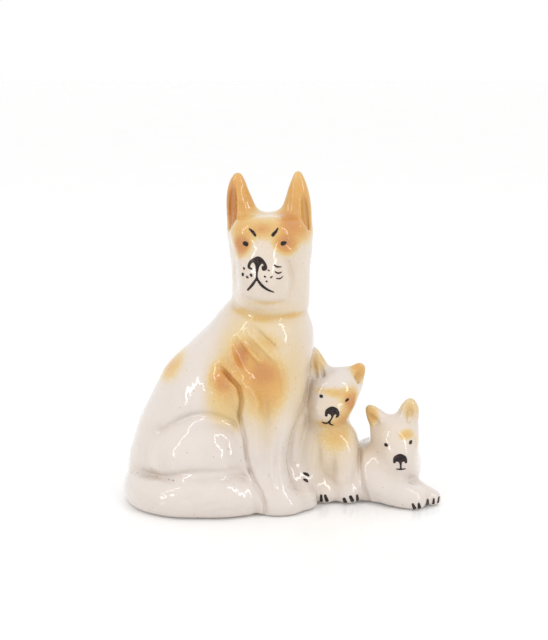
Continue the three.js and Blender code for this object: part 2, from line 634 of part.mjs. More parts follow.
const sitting = groupAt(figurine, SITTING.x, SITTING.y, 0);
addPiece(sitting, 'sitting_puppy_body', sittingBody, porcelain);
const sittingEnamel = enamelOver({ ...sittingBulk, ...sittingRelief }).subtract(motherClear);
addClaws(sitting, sittingClaws, sittingEnamel, SITTING, SITTING.y - 16);
const sittingTop = groupAt(sitting, sittingFace.x, sittingFace.y, sittingFace.z);
addPiece(sittingTop, 'sitting_puppy_head', sittingHeadMass.subtract(motherClear), porcelain);
const sittingLeftEar = ear(sittingEars.left, sittingHeadClear.add(motherClear));
const sittingRightEar = ear(sittingEars.right, sittingHeadClear);
addPiece(sittingTop, 'sitting_puppy_left_ear', sittingLeftEar, amberPorcelain);
addPiece(sittingTop, 'sitting_puppy_right_ear', sittingRightEar, amberPorcelain);
addMarks(sittingTop, sittingMarks, enamelOver(sittingHead), sittingFace.y - 5);

const lying = groupAt(figurine, LYING.x, LYING.y, 0);
addPiece(lying, 'lying_puppy_body', lyingBody, porcelain);
addClaws(lying, lyingClaws, enamelOver({ ...lyingBulk, ...lyingRelief }), LYING, LYING.y - 14);
const lyingTop = groupAt(lying, lyingFace.x, lyingFace.y, lyingFace.z);
addPiece(lyingTop, 'lying_puppy_head', lyingHeadMass, porcelain);
addPiece(lyingTop, 'lying_puppy_left_ear', ear(lyingEars.left, lyingHeadClear), amberPorcelain);
addPiece(lyingTop, 'lying_puppy_right_ear', ear(lyingEars.right, lyingHeadClear), amberPorcelain);
addMarks(lyingTop, lyingMarks, enamelOver(lyingHead), lyingFace.y - 5);

// The origin is under the middle of the whole group.
const middle = new THREE.Box3().setFromObject(figurine).getCenter(new THREE.Vector3());
figurine.position.set(-middle.x, -middle.y, 0);

export default figurine;
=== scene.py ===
# Looks of the glazed porcelain figurine: a mother dog, a puppy that sits and a puppy that lies.
#
# The whole group is sculpted as one signed distance field of rounded lumps that melt into each other, with
# folds carved into it. The field is then cut into the luted pieces of the CAD model, which share their seams,
# so that the glaze runs over them without a step. The black marks are raised strokes laid on the sculpted
# surface. Sculpting is in millimetres in the CAD model's frame. Objects are in metres.

import math

import bpy
import numpy as np
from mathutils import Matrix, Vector


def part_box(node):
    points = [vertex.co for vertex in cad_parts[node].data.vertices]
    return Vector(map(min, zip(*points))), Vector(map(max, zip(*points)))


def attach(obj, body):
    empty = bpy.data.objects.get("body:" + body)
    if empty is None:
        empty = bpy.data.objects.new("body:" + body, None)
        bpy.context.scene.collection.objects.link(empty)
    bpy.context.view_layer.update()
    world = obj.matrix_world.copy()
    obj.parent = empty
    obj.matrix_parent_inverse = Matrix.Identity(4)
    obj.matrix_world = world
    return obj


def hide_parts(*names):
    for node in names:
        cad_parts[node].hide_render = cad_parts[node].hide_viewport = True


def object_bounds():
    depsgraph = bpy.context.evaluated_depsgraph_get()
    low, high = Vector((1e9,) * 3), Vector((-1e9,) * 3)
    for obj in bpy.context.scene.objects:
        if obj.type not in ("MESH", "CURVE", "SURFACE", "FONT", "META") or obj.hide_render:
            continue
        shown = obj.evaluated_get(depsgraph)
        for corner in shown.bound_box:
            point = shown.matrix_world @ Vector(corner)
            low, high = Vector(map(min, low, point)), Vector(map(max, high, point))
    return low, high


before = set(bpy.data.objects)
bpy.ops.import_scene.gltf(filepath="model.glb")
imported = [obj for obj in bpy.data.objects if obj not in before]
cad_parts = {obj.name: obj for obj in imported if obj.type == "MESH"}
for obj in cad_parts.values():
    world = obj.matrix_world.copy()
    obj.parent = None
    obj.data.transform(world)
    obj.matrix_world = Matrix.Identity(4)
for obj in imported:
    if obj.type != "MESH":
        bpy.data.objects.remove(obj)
cad_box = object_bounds()

MM = 0.001

# Of the sculpture, in millimetres.
VOXEL = 0.7      # grid step of the sculpture
MARK_VOXEL = 0.2                        # grid step of an enamel mark
FAR = 30.0                              # distance that an empty field holds
MARGIN = 5.0                            # empty space round the sculpture
LUMP_REACH = 8.0                        # how far outside a lump its distances are still worked out
TOOL_FADE = 4.0                         # a tool's line fades out over this depth in front of its back
LINE_STEPS = 6                          # points on a curve from one given point to the next


# ---- Signed distances --------------------------------------------------------------------------------------

def box_mm(node):
    """Lowest and highest corner of a CAD node in millimetres."""
    low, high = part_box(node)
    return np.array(low) / MM, np.array(high) / MM


def melt(a, b, blend):
    """The union of two fields, with a fillet as wide as blend."""
    if blend <= 0:
        return np.minimum(a, b)
    overlap = np.maximum(blend - np.abs(a - b), 0) / blend
    return np.minimum(a, b) - overlap * overlap * blend * 0.25


def trim(a, b, blend):
    """The part of field a that is also in field b, with its edge rounded."""
    return -melt(-a, -b, blend)


def smooth_path(points, steps):
    """A Catmull-Rom curve through rows of numbers."""
    rows = np.array(points, float)
    rows = np.vstack([2 * rows[0] - rows[1], rows, 2 * rows[-1] - rows[-2]])
    path = []
    for i in range(1, len(rows) - 2):
        p0, p1, p2, p3 = rows[i - 1:i + 3]
        for t in np.arange(steps) / steps:
            path.append(0.5 * (2 * p1 + (p2 - p0) * t + (2 * p0 - 5 * p1 + 4 * p2 - p3) * t * t
                               + (3 * p1 - p0 - 3 * p2 + p3) * t ** 3))
    path.append(rows[-2])
    return np.array(path)


def egg_distance(x, y, z, centre, radii, tilt):
    """Distance to an ellipsoid that leans by tilt degrees about Y."""
    x, y, z = x - centre[0], y - centre[1], z - centre[2]
    turn = math.radians(tilt)
    u = math.cos(turn) * x - math.sin(turn) * z
    w = math.sin(turn) * x + math.cos(turn) * z
    a, b, c = radii
    inside = np.sqrt((u / a) ** 2 + (y / b) ** 2 + (w / c) ** 2)
    slope = np.sqrt((u / a ** 2) ** 2 + (y / b ** 2) ** 2 + (w / c ** 2) ** 2) + 1e-9
    return inside * (inside - 1) / slope


def rod_distance(x, y, z, start, end):
    """Distance to a rod between two (x, y, z, radius) stations with ball ends."""
    ax, ay, az, start_radius = start
    step = np.array(end[:3]) - np.array(start[:3])
    length2 = step @ step
    drop = start_radius - end[3]
    slant2 = length2 - drop * drop
    px, py, pz = x - ax, y - ay, z - az
    along = px * step[0] + py * step[1] + pz * step[2]
    beyond = along - length2
    qx, qy, qz = (p * length2 - s * along for p, s in zip((px, py, pz), step))
    across2 = qx * qx + qy * qy + qz * qz
    limit = np.sign(drop) * drop * drop * across2
    distance = (np.sqrt(across2 * slant2 / length2) + along * drop) / length2 - start_radius
    before = np.sign(along) * slant2 * along * along * length2 < limit
    distance = np.where(before, np.sqrt(across2 + along * along * length2) / length2 - start_radius, distance)
    after = np.sign(beyond) * slant2 * beyond * beyond * length2 > limit
    return np.where(after, np.sqrt(across2 + beyond * beyond * length2) / length2 - end[3], distance)


def distance_to_path(u, v, path, widths=None):
    """Distance in a plane to a broken line, and how far along it the nearest point is, from 0 to 1."""
    best = along = None
    count = len(path) - 1
    for i in range(count):
        (ax, ay), (bx, by) = path[i], path[i + 1]
        dx, dy = bx - ax, by - ay
        t = np.clip(((u - ax) * dx + (v - ay) * dy) / (dx * dx + dy * dy + 1e-9), 0, 1)
        distance = np.hypot(u - ax - t * dx, v - ay - t * dy)
        if widths is not None:
            distance = distance - (widths[i] + (widths[i + 1] - widths[i]) * t)
        place = (i + t) / count
        if best is None:
            best, along = distance, place + 0 * distance
        else:
            nearer = distance < best
            best = np.where(nearer, distance, best)
            along = np.where(nearer, place, along)
    return best, along


# ---- The clay: a field on the shared grid ------------------------------------------------------------------

cad_low, cad_high = np.array(cad_box[0]) / MM, np.array(cad_box[1]) / MM
GRID_LOW = cad_low - MARGIN
GRID_SIZE = np.ceil((cad_high + MARGIN - GRID_LOW) / VOXEL).astype(int) + 1
GRID_AXES = [(GRID_LOW[i] + VOXEL * np.arange(GRID_SIZE[i])).astype(np.float32) for i in range(3)]


class Clay:
    """A form as a signed distance field. Its lumps are given in millimetres from its own origin."""

    def __init__(self, origin=(0, 0, 0), field=None):
        self.origin = np.array(origin, float)
        self.field = np.full(GRID_SIZE, FAR, np.float32) if field is None else field

    def block(self, low, high):
        """The part of the grid between two corners, and its coordinates from the form's origin."""
        first = np.clip(np.floor((low + self.origin - GRID_LOW) / VOXEL).astype(int), 0, GRID_SIZE)
        last = np.clip(np.ceil((high + self.origin - GRID_LOW) / VOXEL).astype(int) + 1, 0, GRID_SIZE)
        where = tuple(slice(a, b) for a, b in zip(first, last))
        x, y, z = (axis[part] - start for axis, part, start in zip(GRID_AXES, where, self.origin))
        return where, x[:, None, None], y[None, :, None], z[None, None, :]

    def egg(self, centre, radii, tilt=0, blend=0, cut=False):
        """Adds an ellipsoid, or takes it away."""
        reach = max(radii) + blend + LUMP_REACH
        where, x, y, z = self.block(np.array(centre) - reach, np.array(centre) + reach)
        distance = egg_distance(x, y, z, centre, radii, tilt)
        old = self.field[where]
        self.field[where] = trim(old, -distance, blend) if cut else melt(old, distance, blend)
        return self

    def limb(self, stations, depth=1, blend=0, steps=5):
        """Adds a smooth tapered limb. depth squashes it along Y about its first station."""
        path = smooth_path(stations, steps)
        reach = path[:, 3:4] + blend + LUMP_REACH
        where, x, y, z = self.block((path[:, :3] - reach).min(0), (path[:, :3] + reach).max(0))
        y = (y - stations[0][1]) / depth + stations[0][1]
        distance = None
        for start, end in zip(path[:-1], path[1:]):
            rod = rod_distance(x, y, z, start, end)
            distance = rod if distance is None else np.minimum(distance, rod)
        self.field[where] = melt(self.field[where], distance * depth, blend)
        return self

    def press(self, centre, radii, depth):
        """Pushes the surface in by up to depth, as a fingertip does."""
        centre, radii = np.array(centre, float), np.array(radii, float)
        reach = 2.6 * radii
        where, x, y, z = self.block(centre - reach, centre + reach)
        a, b, c = radii
        bell = np.exp(-(((x - centre[0]) / a) ** 2 + ((y - centre[1]) / b) ** 2 + ((z - centre[2]) / c) ** 2))
        self.field[where] += (depth * bell).astype(np.float32)
        return self

    def carve(self, line, width, depth, back, fade=0.25):
        """Draws a modelling tool along a line of (x, z) points over the front, from Y = back forwards.

        Both ends of the line are soft, over the share fade of its length. A negative depth raises a ridge."""
        path = smooth_path(line, LINE_STEPS)
        reach = 3 * width
        low = np.array([path[:, 0].min() - reach, GRID_LOW[1] - self.origin[1], path[:, 1].min() - reach])
        high = np.array([path[:, 0].max() + reach, back, path[:, 1].max() + reach])
        where, x, y, z = self.block(low, high)
        distance, along = distance_to_path(x[:, 0, :], z[0, :, :], path)
        groove = np.exp(-(distance / width) ** 2)
        groove = groove * np.clip(np.minimum(along, 1 - along) / fade, 0, 1) ** 0.7
        front = np.clip((back - y) / TOOL_FADE, 0, 1)
        self.field[where] += (depth * groove[:, None, :] * front).astype(np.float32)
        return self


def sample(field, points):
    """The value of a grid field at points in millimetres, by trilinear interpolation."""
    place = (points - GRID_LOW) / VOXEL
    base = np.clip(np.floor(place).astype(int), 0, GRID_SIZE - 2)
    fraction = np.clip(place - base, 0, 1)
    value = np.zeros(len(points))
    for corner in np.ndindex(2, 2, 2):
        weight = np.prod(np.where(np.array(corner) == 1, fraction, 1 - fraction), axis=1)
        i, j, k = (base + corner).T
        value += weight * field[i, j, k]
    return value


def rise_across(field, points, step):
    """How much the field grows along X, Y and Z, from a step before each point to a step after it."""
    return np.stack([sample(field, points + step * axis) - sample(field, points - step * axis)
                     for axis in np.eye(3)], axis=1)


def gradient(field, points, step):
    """Unit direction in which the field grows fastest."""
    rise = rise_across(field, points, step)
    return rise / (np.linalg.norm(rise, axis=1, keepdims=True) + 1e-9)


# ---- Where the figures stand -------------------------------------------------------------------------------

head_low, head_high = box_mm("mother_head")
sitting_low, sitting_high = box_mm("sitting_puppy_body")
_, lying_high = box_mm("lying_puppy_body")
MOTHER = (head_low[0] + 25.3, head_high[1] - 20, 0)
SITTING = (sitting_low[0] + 17.1, sitting_high[1] - 16, 0)
LYING = (lying_high[0] - 25.4, lying_high[1] - 23, 0)


# ---- The porcelain pieces ----------------------------------------------------------------------------------

def mother_pieces():
    """The mother's body, tail, head and ears."""
    body = Clay(MOTHER)
    body.egg((-43, 4, 15), (35.5, 31, 29))  # rump
    body.limb([(-42, 4, 31, 31.5), (-34, 3, 50.5, 29.8), (-10, 0, 83, 23)], blend=7, steps=1)  # back
    body.egg((-8.5, -1, 84.5), (24.5, 23.5, 23.5), blend=5)  # shoulders
    body.egg((-4.3, -3, 64), (18.5, 22.5, 34), tilt=-3, blend=8)  # breast
    body.egg((1, 3, 40), (12, 16, 27), tilt=5, blend=8)  # loin
    body.egg((-21.5, -15, 72), (10.5, 9.5, 20), tilt=22, blend=6)  # shoulder blade
    body.limb([(-22, -19, 76, 6), (-19.5, -22.5, 66, 7), (-15.5, -23, 54, 7.2), (-12.5, -22.5, 40, 7),
               (-11, -23, 22, 6.8), (-10.5, -25, 10, 7.5)], blend=4)  # near foreleg
    body.limb([(-1, -16, 58, 9), (-2.3, -19, 40, 7.6), (-3, -20.5, 24, 5.6),
               (-1.5, -23.5, 9, 7.5)], blend=5)  # far foreleg
    body.egg((-29, -17.5, 60), (8, 10, 16.5), tilt=-10, blend=4)  # ribs
    body.egg((-41, -15, 24), (24.5, 20.5, 24), tilt=6, blend=2.5)  # near haunch
    body.egg((-41, 20, 24), (24, 17, 23), tilt=8, blend=5)  # far haunch
    body.egg((-2, -26, 4.5), (13, 8.5, 8), blend=4)  # near paw
    body.egg((8, -18, 4), (10, 9, 7.5), blend=4)  # far paw
    body.egg((7, -6, 10), (11, 12, 14), blend=6)  # instep
    body.egg((-18, -19, 34), (6.5, 8.5, 22), blend=6)  # between haunch and leg
    body.egg((3, -8, 26), (8, 8, 24), blend=5)  # beside the puppy
    tail = Clay(MOTHER)
    tail.limb([(-64, 16, 8, 10), (-69, 6, 6, 11), (-68.5, -7, 6.5, 11.2), (-63, -19, 7.5, 11.5),
               (-52, -27, 8.5, 11.5), (-40, -28.7, 8.8, 11.2), (-29, -28.5, 8.8, 11.3),
               (-19.5, -26, 8, 10.4)])
    head = Clay(MOTHER)
    head.limb([(-5.3, -1, 103, 19.3), (-5.3, -0.5, 124.5, 19.6)], steps=1)  # neck
    head.egg((-5.3, 0, 129.5), (19.5, 20, 16.3), blend=4)  # skull
    head.egg((-8.4, -14, 117.5), (11.2, 15.5, 12.2), blend=9)  # muzzle
    head.limb([(-8.4, -12, 133, 10.5), (-10.3, -20, 122, 10.5)], depth=0.7, blend=6, steps=1)  # bridge
    head.egg((-8.6, -16, 109.5), (9, 10, 6), blend=7)  # chin
    head.egg((-7, -11, 104), (12, 9.5, 8), blend=6)  # throat
    head.egg((-16, -12.4, 138), (6, 5, 4.4), blend=8)  # brows
    head.egg((-1, -13.4, 138), (6.5, 5, 4.4), blend=8)
    head.egg((-17.5, -6.5, 138), (6.5, 7.5, 6), blend=6)  # roots of the ears
    head.egg((6.5, -6.5, 138), (6.5, 7.5, 6), blend=6)
    left_ear = Clay(MOTHER).limb([(-17.4, 0, 138, 9), (-19.6, 0, 146.5, 7.5), (-21.2, -0.5, 154.5, 5.8),
                                  (-21.6, -1, 160, 4.2), (-21.5, -1, 163.3, 2.6)], depth=0.75)
    right_ear = Clay(MOTHER).limb([(5.4, 0, 138.5, 9.2), (7.2, 0, 146, 7.6), (7.9, -0.5, 154, 5.9),
                                   (8.1, -1, 161.3, 3.5), (8, -1, 164.6, 2.1)], depth=0.75)
    return {"mother_body": body, "mother_tail": tail, "mother_head": head,
            "mother_left_ear": left_ear, "mother_right_ear": right_ear}


def sitting_pieces():
    """The puppy that sits."""
    body = Clay(SITTING)
    body.egg((-0.5, 1, 23), (13.5, 15, 25))  # belly
    body.egg((9.5, -7, 18), (7.5, 11, 18), blend=5)  # haunch
    body.egg((-8.5, -8, 20), (8.5, 10, 22), blend=5)  # side by the mother
    body.egg((0, -9, 28), (10, 10, 14), blend=5)  # chest
    body.limb([(-8, -8, 36, 6), (-11.2, -13, 26, 5.4), (-11.5, -14.5, 15, 5.6)], blend=3)  # forelegs
    body.limb([(7, -8, 33, 6), (7, -13, 25, 6), (6.5, -15, 14, 5.5)], blend=4)
    body.egg((-2, -13, 5), (6.5, 8, 6.5), blend=4)  # hind paws
    body.egg((9.5, -13.5, 5.5), (7.5, 8, 7), blend=4)
    body.egg((-10, -11, 8), (8, 9, 9), blend=4)  # seat
    head = Clay(SITTING)
    head.egg((3.5, -5, 58), (12.6, 13, 9.5))  # skull
    head.egg((-4.5, -8.5, 50), (7.8, 10, 12.5), blend=5)  # left cheek
    head.egg((1.3, -11.5, 47.5), (9, 10.5, 8), blend=6)  # muzzle
    head.egg((7, -7, 53), (6.2, 9.5, 8.5), blend=4)  # right cheek
    head.egg((1.3, -8, 40), (7.5, 8, 7), blend=6)  # throat
    left_ear = Clay(SITTING).limb([(-4, -5, 62, 6.5), (-5.5, -5, 68, 4.8), (-6.6, -5, 73.5, 2.8),
                                   (-7.1, -5, 76.3, 1.5)], depth=0.75)
    right_ear = Clay(SITTING).limb([(10.5, -3, 60.5, 6.5), (13.5, -3, 64, 4.6),
                                    (15.2, -3, 66.4, 3.2)], depth=0.75)
    return {"sitting_puppy_body": body, "sitting_puppy_head": head,
            "sitting_puppy_left_ear": left_ear, "sitting_puppy_right_ear": right_ear}


def lying_pieces():
    """The puppy that lies."""
    body = Clay(LYING)
    body.egg((-3, 5, 13), (20, 18, 16))  # belly
    body.egg((-6, -8, 14), (11, 11, 14), blend=6)  # shoulder
    body.egg((3, -5, 20), (12, 12, 12), blend=6)  # breast
    body.egg((-14, -3, 10), (13, 14, 15), blend=6)  # flank
    body.limb([(-5, -13, 9, 9), (3, -19, 7, 8), (11, -22.5, 4.5, 6.5)], blend=5)  # near foreleg
    body.limb([(5, -8, 9, 8), (13, -14, 5.3, 6.2), (20.5, -17, 3, 4.8)], blend=4)  # far foreleg
    body.egg((4, -3, 17), (10.5, 12, 14), blend=4)  # chest
    body.egg((4, -12, 18), (8, 7, 7), blend=6)  # throat
    head = Clay(LYING)
    head.egg((2.5, -6, 32.5), (12.3, 13, 10))  # skull
    head.egg((4, -14.5, 25.5), (8.5, 8.5, 8.5), blend=6)  # muzzle
    left_ear = Clay(LYING).limb([(-4, -5, 38, 6), (-7.8, -5, 43, 4.2), (-10.2, -5, 46.2, 2.4)], depth=0.75)
    right_ear = Clay(LYING).limb([(8, -5, 39.5, 6.3), (9.6, -5, 45.5, 5), (10, -5, 49, 3)], depth=0.75)
    return {"lying_puppy_body": body, "lying_puppy_head": head,
            "lying_puppy_left_ear": left_ear, "lying_puppy_right_ear": right_ear}


def melt_together(pieces):
    """One field of the whole group, with fillets where the pieces meet."""
    def figure(name, body, ear_fillet, neck_fillet):
        top = pieces[name + "_head"].field
        for ear in ("_left_ear", "_right_ear"):
            top = melt(top, pieces[name + ear].field, ear_fillet)
        return melt(body, top, neck_fillet)

    body_and_tail = melt(pieces["mother_body"].field, pieces["mother_tail"].field, 1.6)
    mother = figure("mother", body_and_tail, ear_fillet=5, neck_fillet=2)
    sitting = figure("sitting_puppy", pieces["sitting_puppy_body"].field, ear_fillet=3, neck_fillet=4)
    lying = figure("lying_puppy", pieces["lying_puppy_body"].field, ear_fillet=3, neck_fillet=5)
    return melt(melt(mother, sitting, 2), lying, 2.5)


def model_mother(whole):
    """The hollows and folds of the mother."""
    clay = Clay(MOTHER, whole)
    # The ears: a hollow each, with a rib along it.
    clay.egg((-24.2, -5.9, 150), (2.7, 5, 12), tilt=3, cut=True, blend=1.2)
    clay.egg((11.6, -6.8, 147.5), (2.5, 5, 9.5), tilt=-5, cut=True, blend=1.2)
    clay.carve([(-21.8, 160), (-21, 152), (-21.2, 145), (-23, 139)], 1.1, -0.6, back=0)
    clay.carve([(8.2, 156), (8.6, 149), (9.4, 143), (12.2, 138.5)], 1.1, -0.6, back=0)
    # The face, the hair on the ears, the neck and the chin.
    clay.press((-17.6, -19, 133.5), (3.6, 4, 3.4), 1.1)  # eye sockets
    clay.press((1.2, -19, 133.5), (4.2, 4, 3.6), 1.1)
    clay.press((3.4, -16, 122), (2.6, 6, 9), 0.8)  # beside the muzzle
    clay.press((-21.5, -12, 124), (2.4, 6, 7), 0.6)
    clay.carve([(-1.5, 130), (2, 125), (4.2, 119), (4.4, 113), (1.5, 108)], 1.3, 0.7, back=-8)
    clay.carve([(-18.5, 129), (-21.3, 123), (-22, 116), (-20.5, 110)], 1.3, 0.5, back=-6)
    for top, bottom in ((-19.2, -15), (-17.8, -13.2), (2.6, 0.8), (4.4, 3.2)):  # hair on the ears
        clay.carve([(top, 160), (0.6 * top + 0.4 * bottom, 153), (bottom, 146)], 0.7, 0.35, back=2)
    neck = [(-24.5, 102), (-22, 100.5), (-15.4, 98.2), (-8.1, 96.9), (1.6, 97), (8, 97.8), (12.5, 98)]
    clay.carve(neck, 1.8, 0.9, back=2, fade=0.12)
    chin = [(-19.5, 109.5), (-16.8, 107.6), (-8.6, 105.6), (0.6, 105.4), (4, 107)]
    clay.carve(chin, 1.6, 0.7, back=-8)
    # The haunch: a crease, a wide dip that leads into it, and a swelling below.
    haunch = [(-62, 38), (-58.5, 40), (-53.5, 43.5), (-48, 47), (-42, 49.5), (-36, 50), (-29, 48.5),
              (-23, 45), (-20, 40), (-18.5, 34), (-18, 28), (-17.5, 22.5)]
    clay.carve(haunch, 1.6, 1.3, back=-6, fade=0.3)
    clay.carve(haunch[:7], 3, 1.2, back=-6, fade=0.35)
    clay.carve([(x + 1, z - 3) for x, z in haunch[3:]], 2.2, -0.6, back=-6)
    # The elbow: a channel behind the foreleg, with a ridge on each side.
    elbow = [(-31.5, 75.5), (-27.5, 71.5), (-24, 68), (-21, 65), (-20, 61), (-19.5, 57.5), (-20, 54),
             (-20.5, 50), (-19.5, 45), (-18, 38.5), (-17.5, 32.5), (-16.5, 26.5), (-14.5, 20)]
    clay.carve(elbow, 1.0, 1.9, back=-6, fade=0.1)
    clay.carve([(x + 2.6, z + 1.2) for x, z in elbow[:9]], 1.5, -1.3, back=-6)
    clay.carve([(x - 2.8, z - 0.6) for x, z in elbow[1:7]], 1.8, -0.9, back=-6)
    # The shoulder is a leaf between two ridges, with a fold of the breast above it.
    leaf_back = [(-22.8, 92), (-25.4, 84.5), (-24.2, 78.5), (-20.8, 73), (-17.2, 68.5)]
    leaf_front = [(-22.5, 91.5), (-17.5, 85), (-12, 78.5), (-10, 75)]
    fold_valley = [(-16.5, 94.5), (-11.7, 91.5), (-8, 88), (-4, 84), (-1.7, 80)]
    fold_ridge = [(-17.5, 92.3), (-13.6, 88.4), (-8.8, 83.6), (-5, 79.6), (-0.7, 75.5)]
    under_fold = [(-18.4, 87.5), (-14.6, 83.4), (-9.8, 78.6)]
    clay.carve(leaf_back, 1.9, -2.2, back=-6, fade=0.3)
    clay.carve(leaf_front, 1.4, -1.7, back=-6, fade=0.35)
    clay.press((-19.3, -25, 79.5), (3, 7, 5.5), 1.8)
    clay.carve(fold_valley, 1.2, 1.5, back=-6, fade=0.35)
    clay.carve(fold_ridge, 1.4, -1.8, back=-6, fade=0.25)
    clay.carve(under_fold, 1.3, 1.1, back=-6, fade=0.35)
    # The breast and the forelegs.
    breastbone = [(-1.7, 77), (-0.5, 72), (0.8, 66), (2, 58)]
    upper_arm = [(-17, 68), (-12.7, 60), (-11.8, 55), (-12.7, 48)]
    between_legs = [(-8, 58), (-7.5, 45.5), (-8, 30.5), (-8.5, 16.5)]
    shins = [[(-13.5, 50), (-12, 42), (-12.5, 33), (-11.5, 26)],
             [(-4.5, 40), (-5, 29), (-4.5, 19), (-3, 12)],
             [(0.5, 42), (-0.6, 32), (-0.8, 22), (0.5, 14)]]
    puppy_side = [(14, 66.5), (13.5, 60), (11, 50), (7.5, 43), (4.8, 36), (3.8, 28), (4, 20)]
    clay.carve(breastbone, 1.3, -1.5, back=-6, fade=0.35)
    clay.carve(upper_arm, 1.3, -1.5, back=-6, fade=0.3)
    clay.carve(between_legs, 2, 0.6, back=-8)
    for shin in shins:
        clay.carve(shin, 1.4, -1, back=-8, fade=0.35)
    clay.carve(puppy_side, 1.5, 1.1, back=-2)
    # The tail: its crease, a wide dip along it, and a few strands of hair.
    tail = [(-76, 18), (-67, 17), (-57, 19.5), (-47, 22.5), (-39.5, 23.5), (-27.5, 23), (-19, 23.5)]
    tail_fold = [(-69.5, 14), (-61.5, 15.5), (-54, 18), (-48.5, 20)]
    tail_tip = [(-17.5, 25), (-13, 17), (-9.8, 11), (-8.2, 6), (-8.5, 0)]
    strands = [[(-54, 8), (-46, 11.5), (-37, 12.5)],
               [(-42, 6), (-34, 9), (-25, 9)],
               [(-62, 10), (-55, 13), (-48, 14.5)],
               [(-36, 4), (-29, 6), (-22, 5)]]
    clay.carve(tail, 1.4, 1.2, back=-10, fade=0.4)
    clay.carve(tail[:6], 3, 1, back=-10, fade=0.35)
    clay.carve(tail_fold, 1.6, 0.6, back=-10, fade=0.4)
    clay.carve(tail_tip, 1.1, 1.6, back=-10, fade=0.1)
    clay.press((-60, -14, 38), (6, 14, 4.5), 1.6)  # flank
    clay.press((-68, -10, 18), (8, 14, 3.5), 1.3)
    for strand in strands:
        clay.carve(strand, 0.9, 0.35, back=-10, fade=0.5)


def model_puppies(whole):
    """The hollows of the puppies' ears, and the creases round their forelegs."""
    sitting = Clay(SITTING, whole)
    between_puppies = [(15.5, 30), (15.4, 22), (16, 14), (18.5, 6), (21, 0)]
    sitting.carve(between_puppies, 1.1, 1.3, back=0, fade=0.2)
    for beside_leg in ([(-5.5, 34), (-5.2, 25), (-5.6, 15)], [(2.2, 29), (2, 20), (2.6, 11)]):
        sitting.carve(beside_leg, 1.6, 1.1, back=-4, fade=0.4)
    sitting.egg((15.8, -8, 64.5), (2.2, 3.2, 5.5), tilt=35, cut=True, blend=1.2)
    sitting.egg((-7.6, -10.4, 69), (1.6, 3, 6), tilt=-10, cut=True, blend=1)
    sitting.egg((-3.8, -10.4, 68), (1.1, 2.6, 4.5), tilt=-12, cut=True, blend=1)
    lying = Clay(LYING, whole)
    lying.press((10.8, -16, 12.5), (5, 6, 2.6), 1.4)
    lying.egg((-9.3, -9.6, 42.5), (1.8, 3, 4.5), tilt=-50, cut=True, blend=1.2)
    lying.egg((9.6, -10, 45.5), (2, 3, 5), tilt=5, cut=True, blend=1.2)


def stand_on_floor(whole):
    """A flat foot with a rounded rim, and a vent in it under each figure."""
    rim, vent_radii = 2.5, (1.9, 1.9, 8)
    height = GRID_AXES[2][None, None, :]
    whole[:] = trim(whole, -height, rim)
    for origin, x, y in ((MOTHER, -43, 4), (SITTING, 3, 3), (LYING, 0, 7)):
        Clay(origin, whole).egg((x, y, 0), vent_radii, cut=True, blend=0.5)


# ---- From fields to meshes ---------------------------------------------------------------------------------

CORNERS = np.array(list(np.ndindex(2, 2, 2)))
CELL_EDGES = [(a, b) for a in range(8) for b in range(a + 1, 8) if np.abs(CORNERS[a] - CORNERS[b]).sum() == 1]


def net(labels, field, low, step):
    """Surface nets over a labelled grid. Returns the points, and for each label its quads, facing outwards.

    Label 0 is the air, and the field is zero on the skin. Pieces that touch share the points between them."""
    cells = tuple(n - 1 for n in labels.shape)
    corner_labels = [labels[i:i + cells[0], j:j + cells[1], k:k + cells[2]] for i, j, k in CORNERS]
    mixed = np.zeros(cells, bool)
    for other in corner_labels[1:]:
        mixed |= other != corner_labels[0]
    where = np.argwhere(mixed)
    number = np.full(cells, -1, np.int64)
    number[mixed] = np.arange(len(where))
    spots = where[:, None, :] + CORNERS
    near_labels = labels[spots[..., 0], spots[..., 1], spots[..., 2]]
    near_values = field[spots[..., 0], spots[..., 1], spots[..., 2]].astype(float)
    on_skin = (near_labels == 0).any(axis=1)
    total = np.zeros((len(where), 3))
    count = np.zeros(len(where))
    for a, b in CELL_EDGES:
        apart = near_labels[:, a] != near_labels[:, b]
        crosses_skin = (near_labels[:, a] == 0) != (near_labels[:, b] == 0)
        used = apart & (crosses_skin | ~on_skin)
        rise = near_values[:, b] - near_values[:, a]
        share = np.where(crosses_skin, -near_values[:, a] / np.where(rise == 0, 1, rise), 0.5)
        crossing = CORNERS[a] + np.clip(share, 0, 1)[:, None] * (CORNERS[b] - CORNERS[a])
        total += used[:, None] * crossing
        count += used
    points = low + step * (where + total / count[:, None])
    quads = {label: [] for label in np.unique(labels) if label}
    for axis in range(3):
        first, second = [slice(1, -1)] * 3, [slice(1, -1)] * 3
        first[axis], second[axis] = slice(0, -1), slice(1, None)
        before, after = labels[tuple(first)], labels[tuple(second)]
        edge = np.argwhere(before != after)
        from_label, to_label = before[tuple(edge.T)], after[tuple(edge.T)]
        base = edge + 1
        base[:, axis] -= 1
        u, v = np.eye(3, dtype=int)[(axis + 1) % 3], np.eye(3, dtype=int)[(axis + 2) % 3]
        ring = [number[tuple((base - shift).T)] for shift in (u + v, v, 0 * u, u)]
        faces = np.stack(ring, axis=1)
        for label in quads:
            quads[label].append(faces[from_label == label])
            quads[label].append(faces[to_label == label][:, ::-1])
    return points, {label: np.vstack(parts) for label, parts in quads.items()}, on_skin


def settle(points, field, passes=3, stride=0.3):
    """Moves points onto the surface where the field is zero, by no more than a stride in each pass."""
    for _ in range(passes):
        slope = rise_across(field, points, 0.5 * VOXEL) / VOXEL
        steep = (slope ** 2).sum(axis=1) + 0.05
        points = points - np.clip(sample(field, points) / steep, -stride, stride)[:, None] * slope
    return points


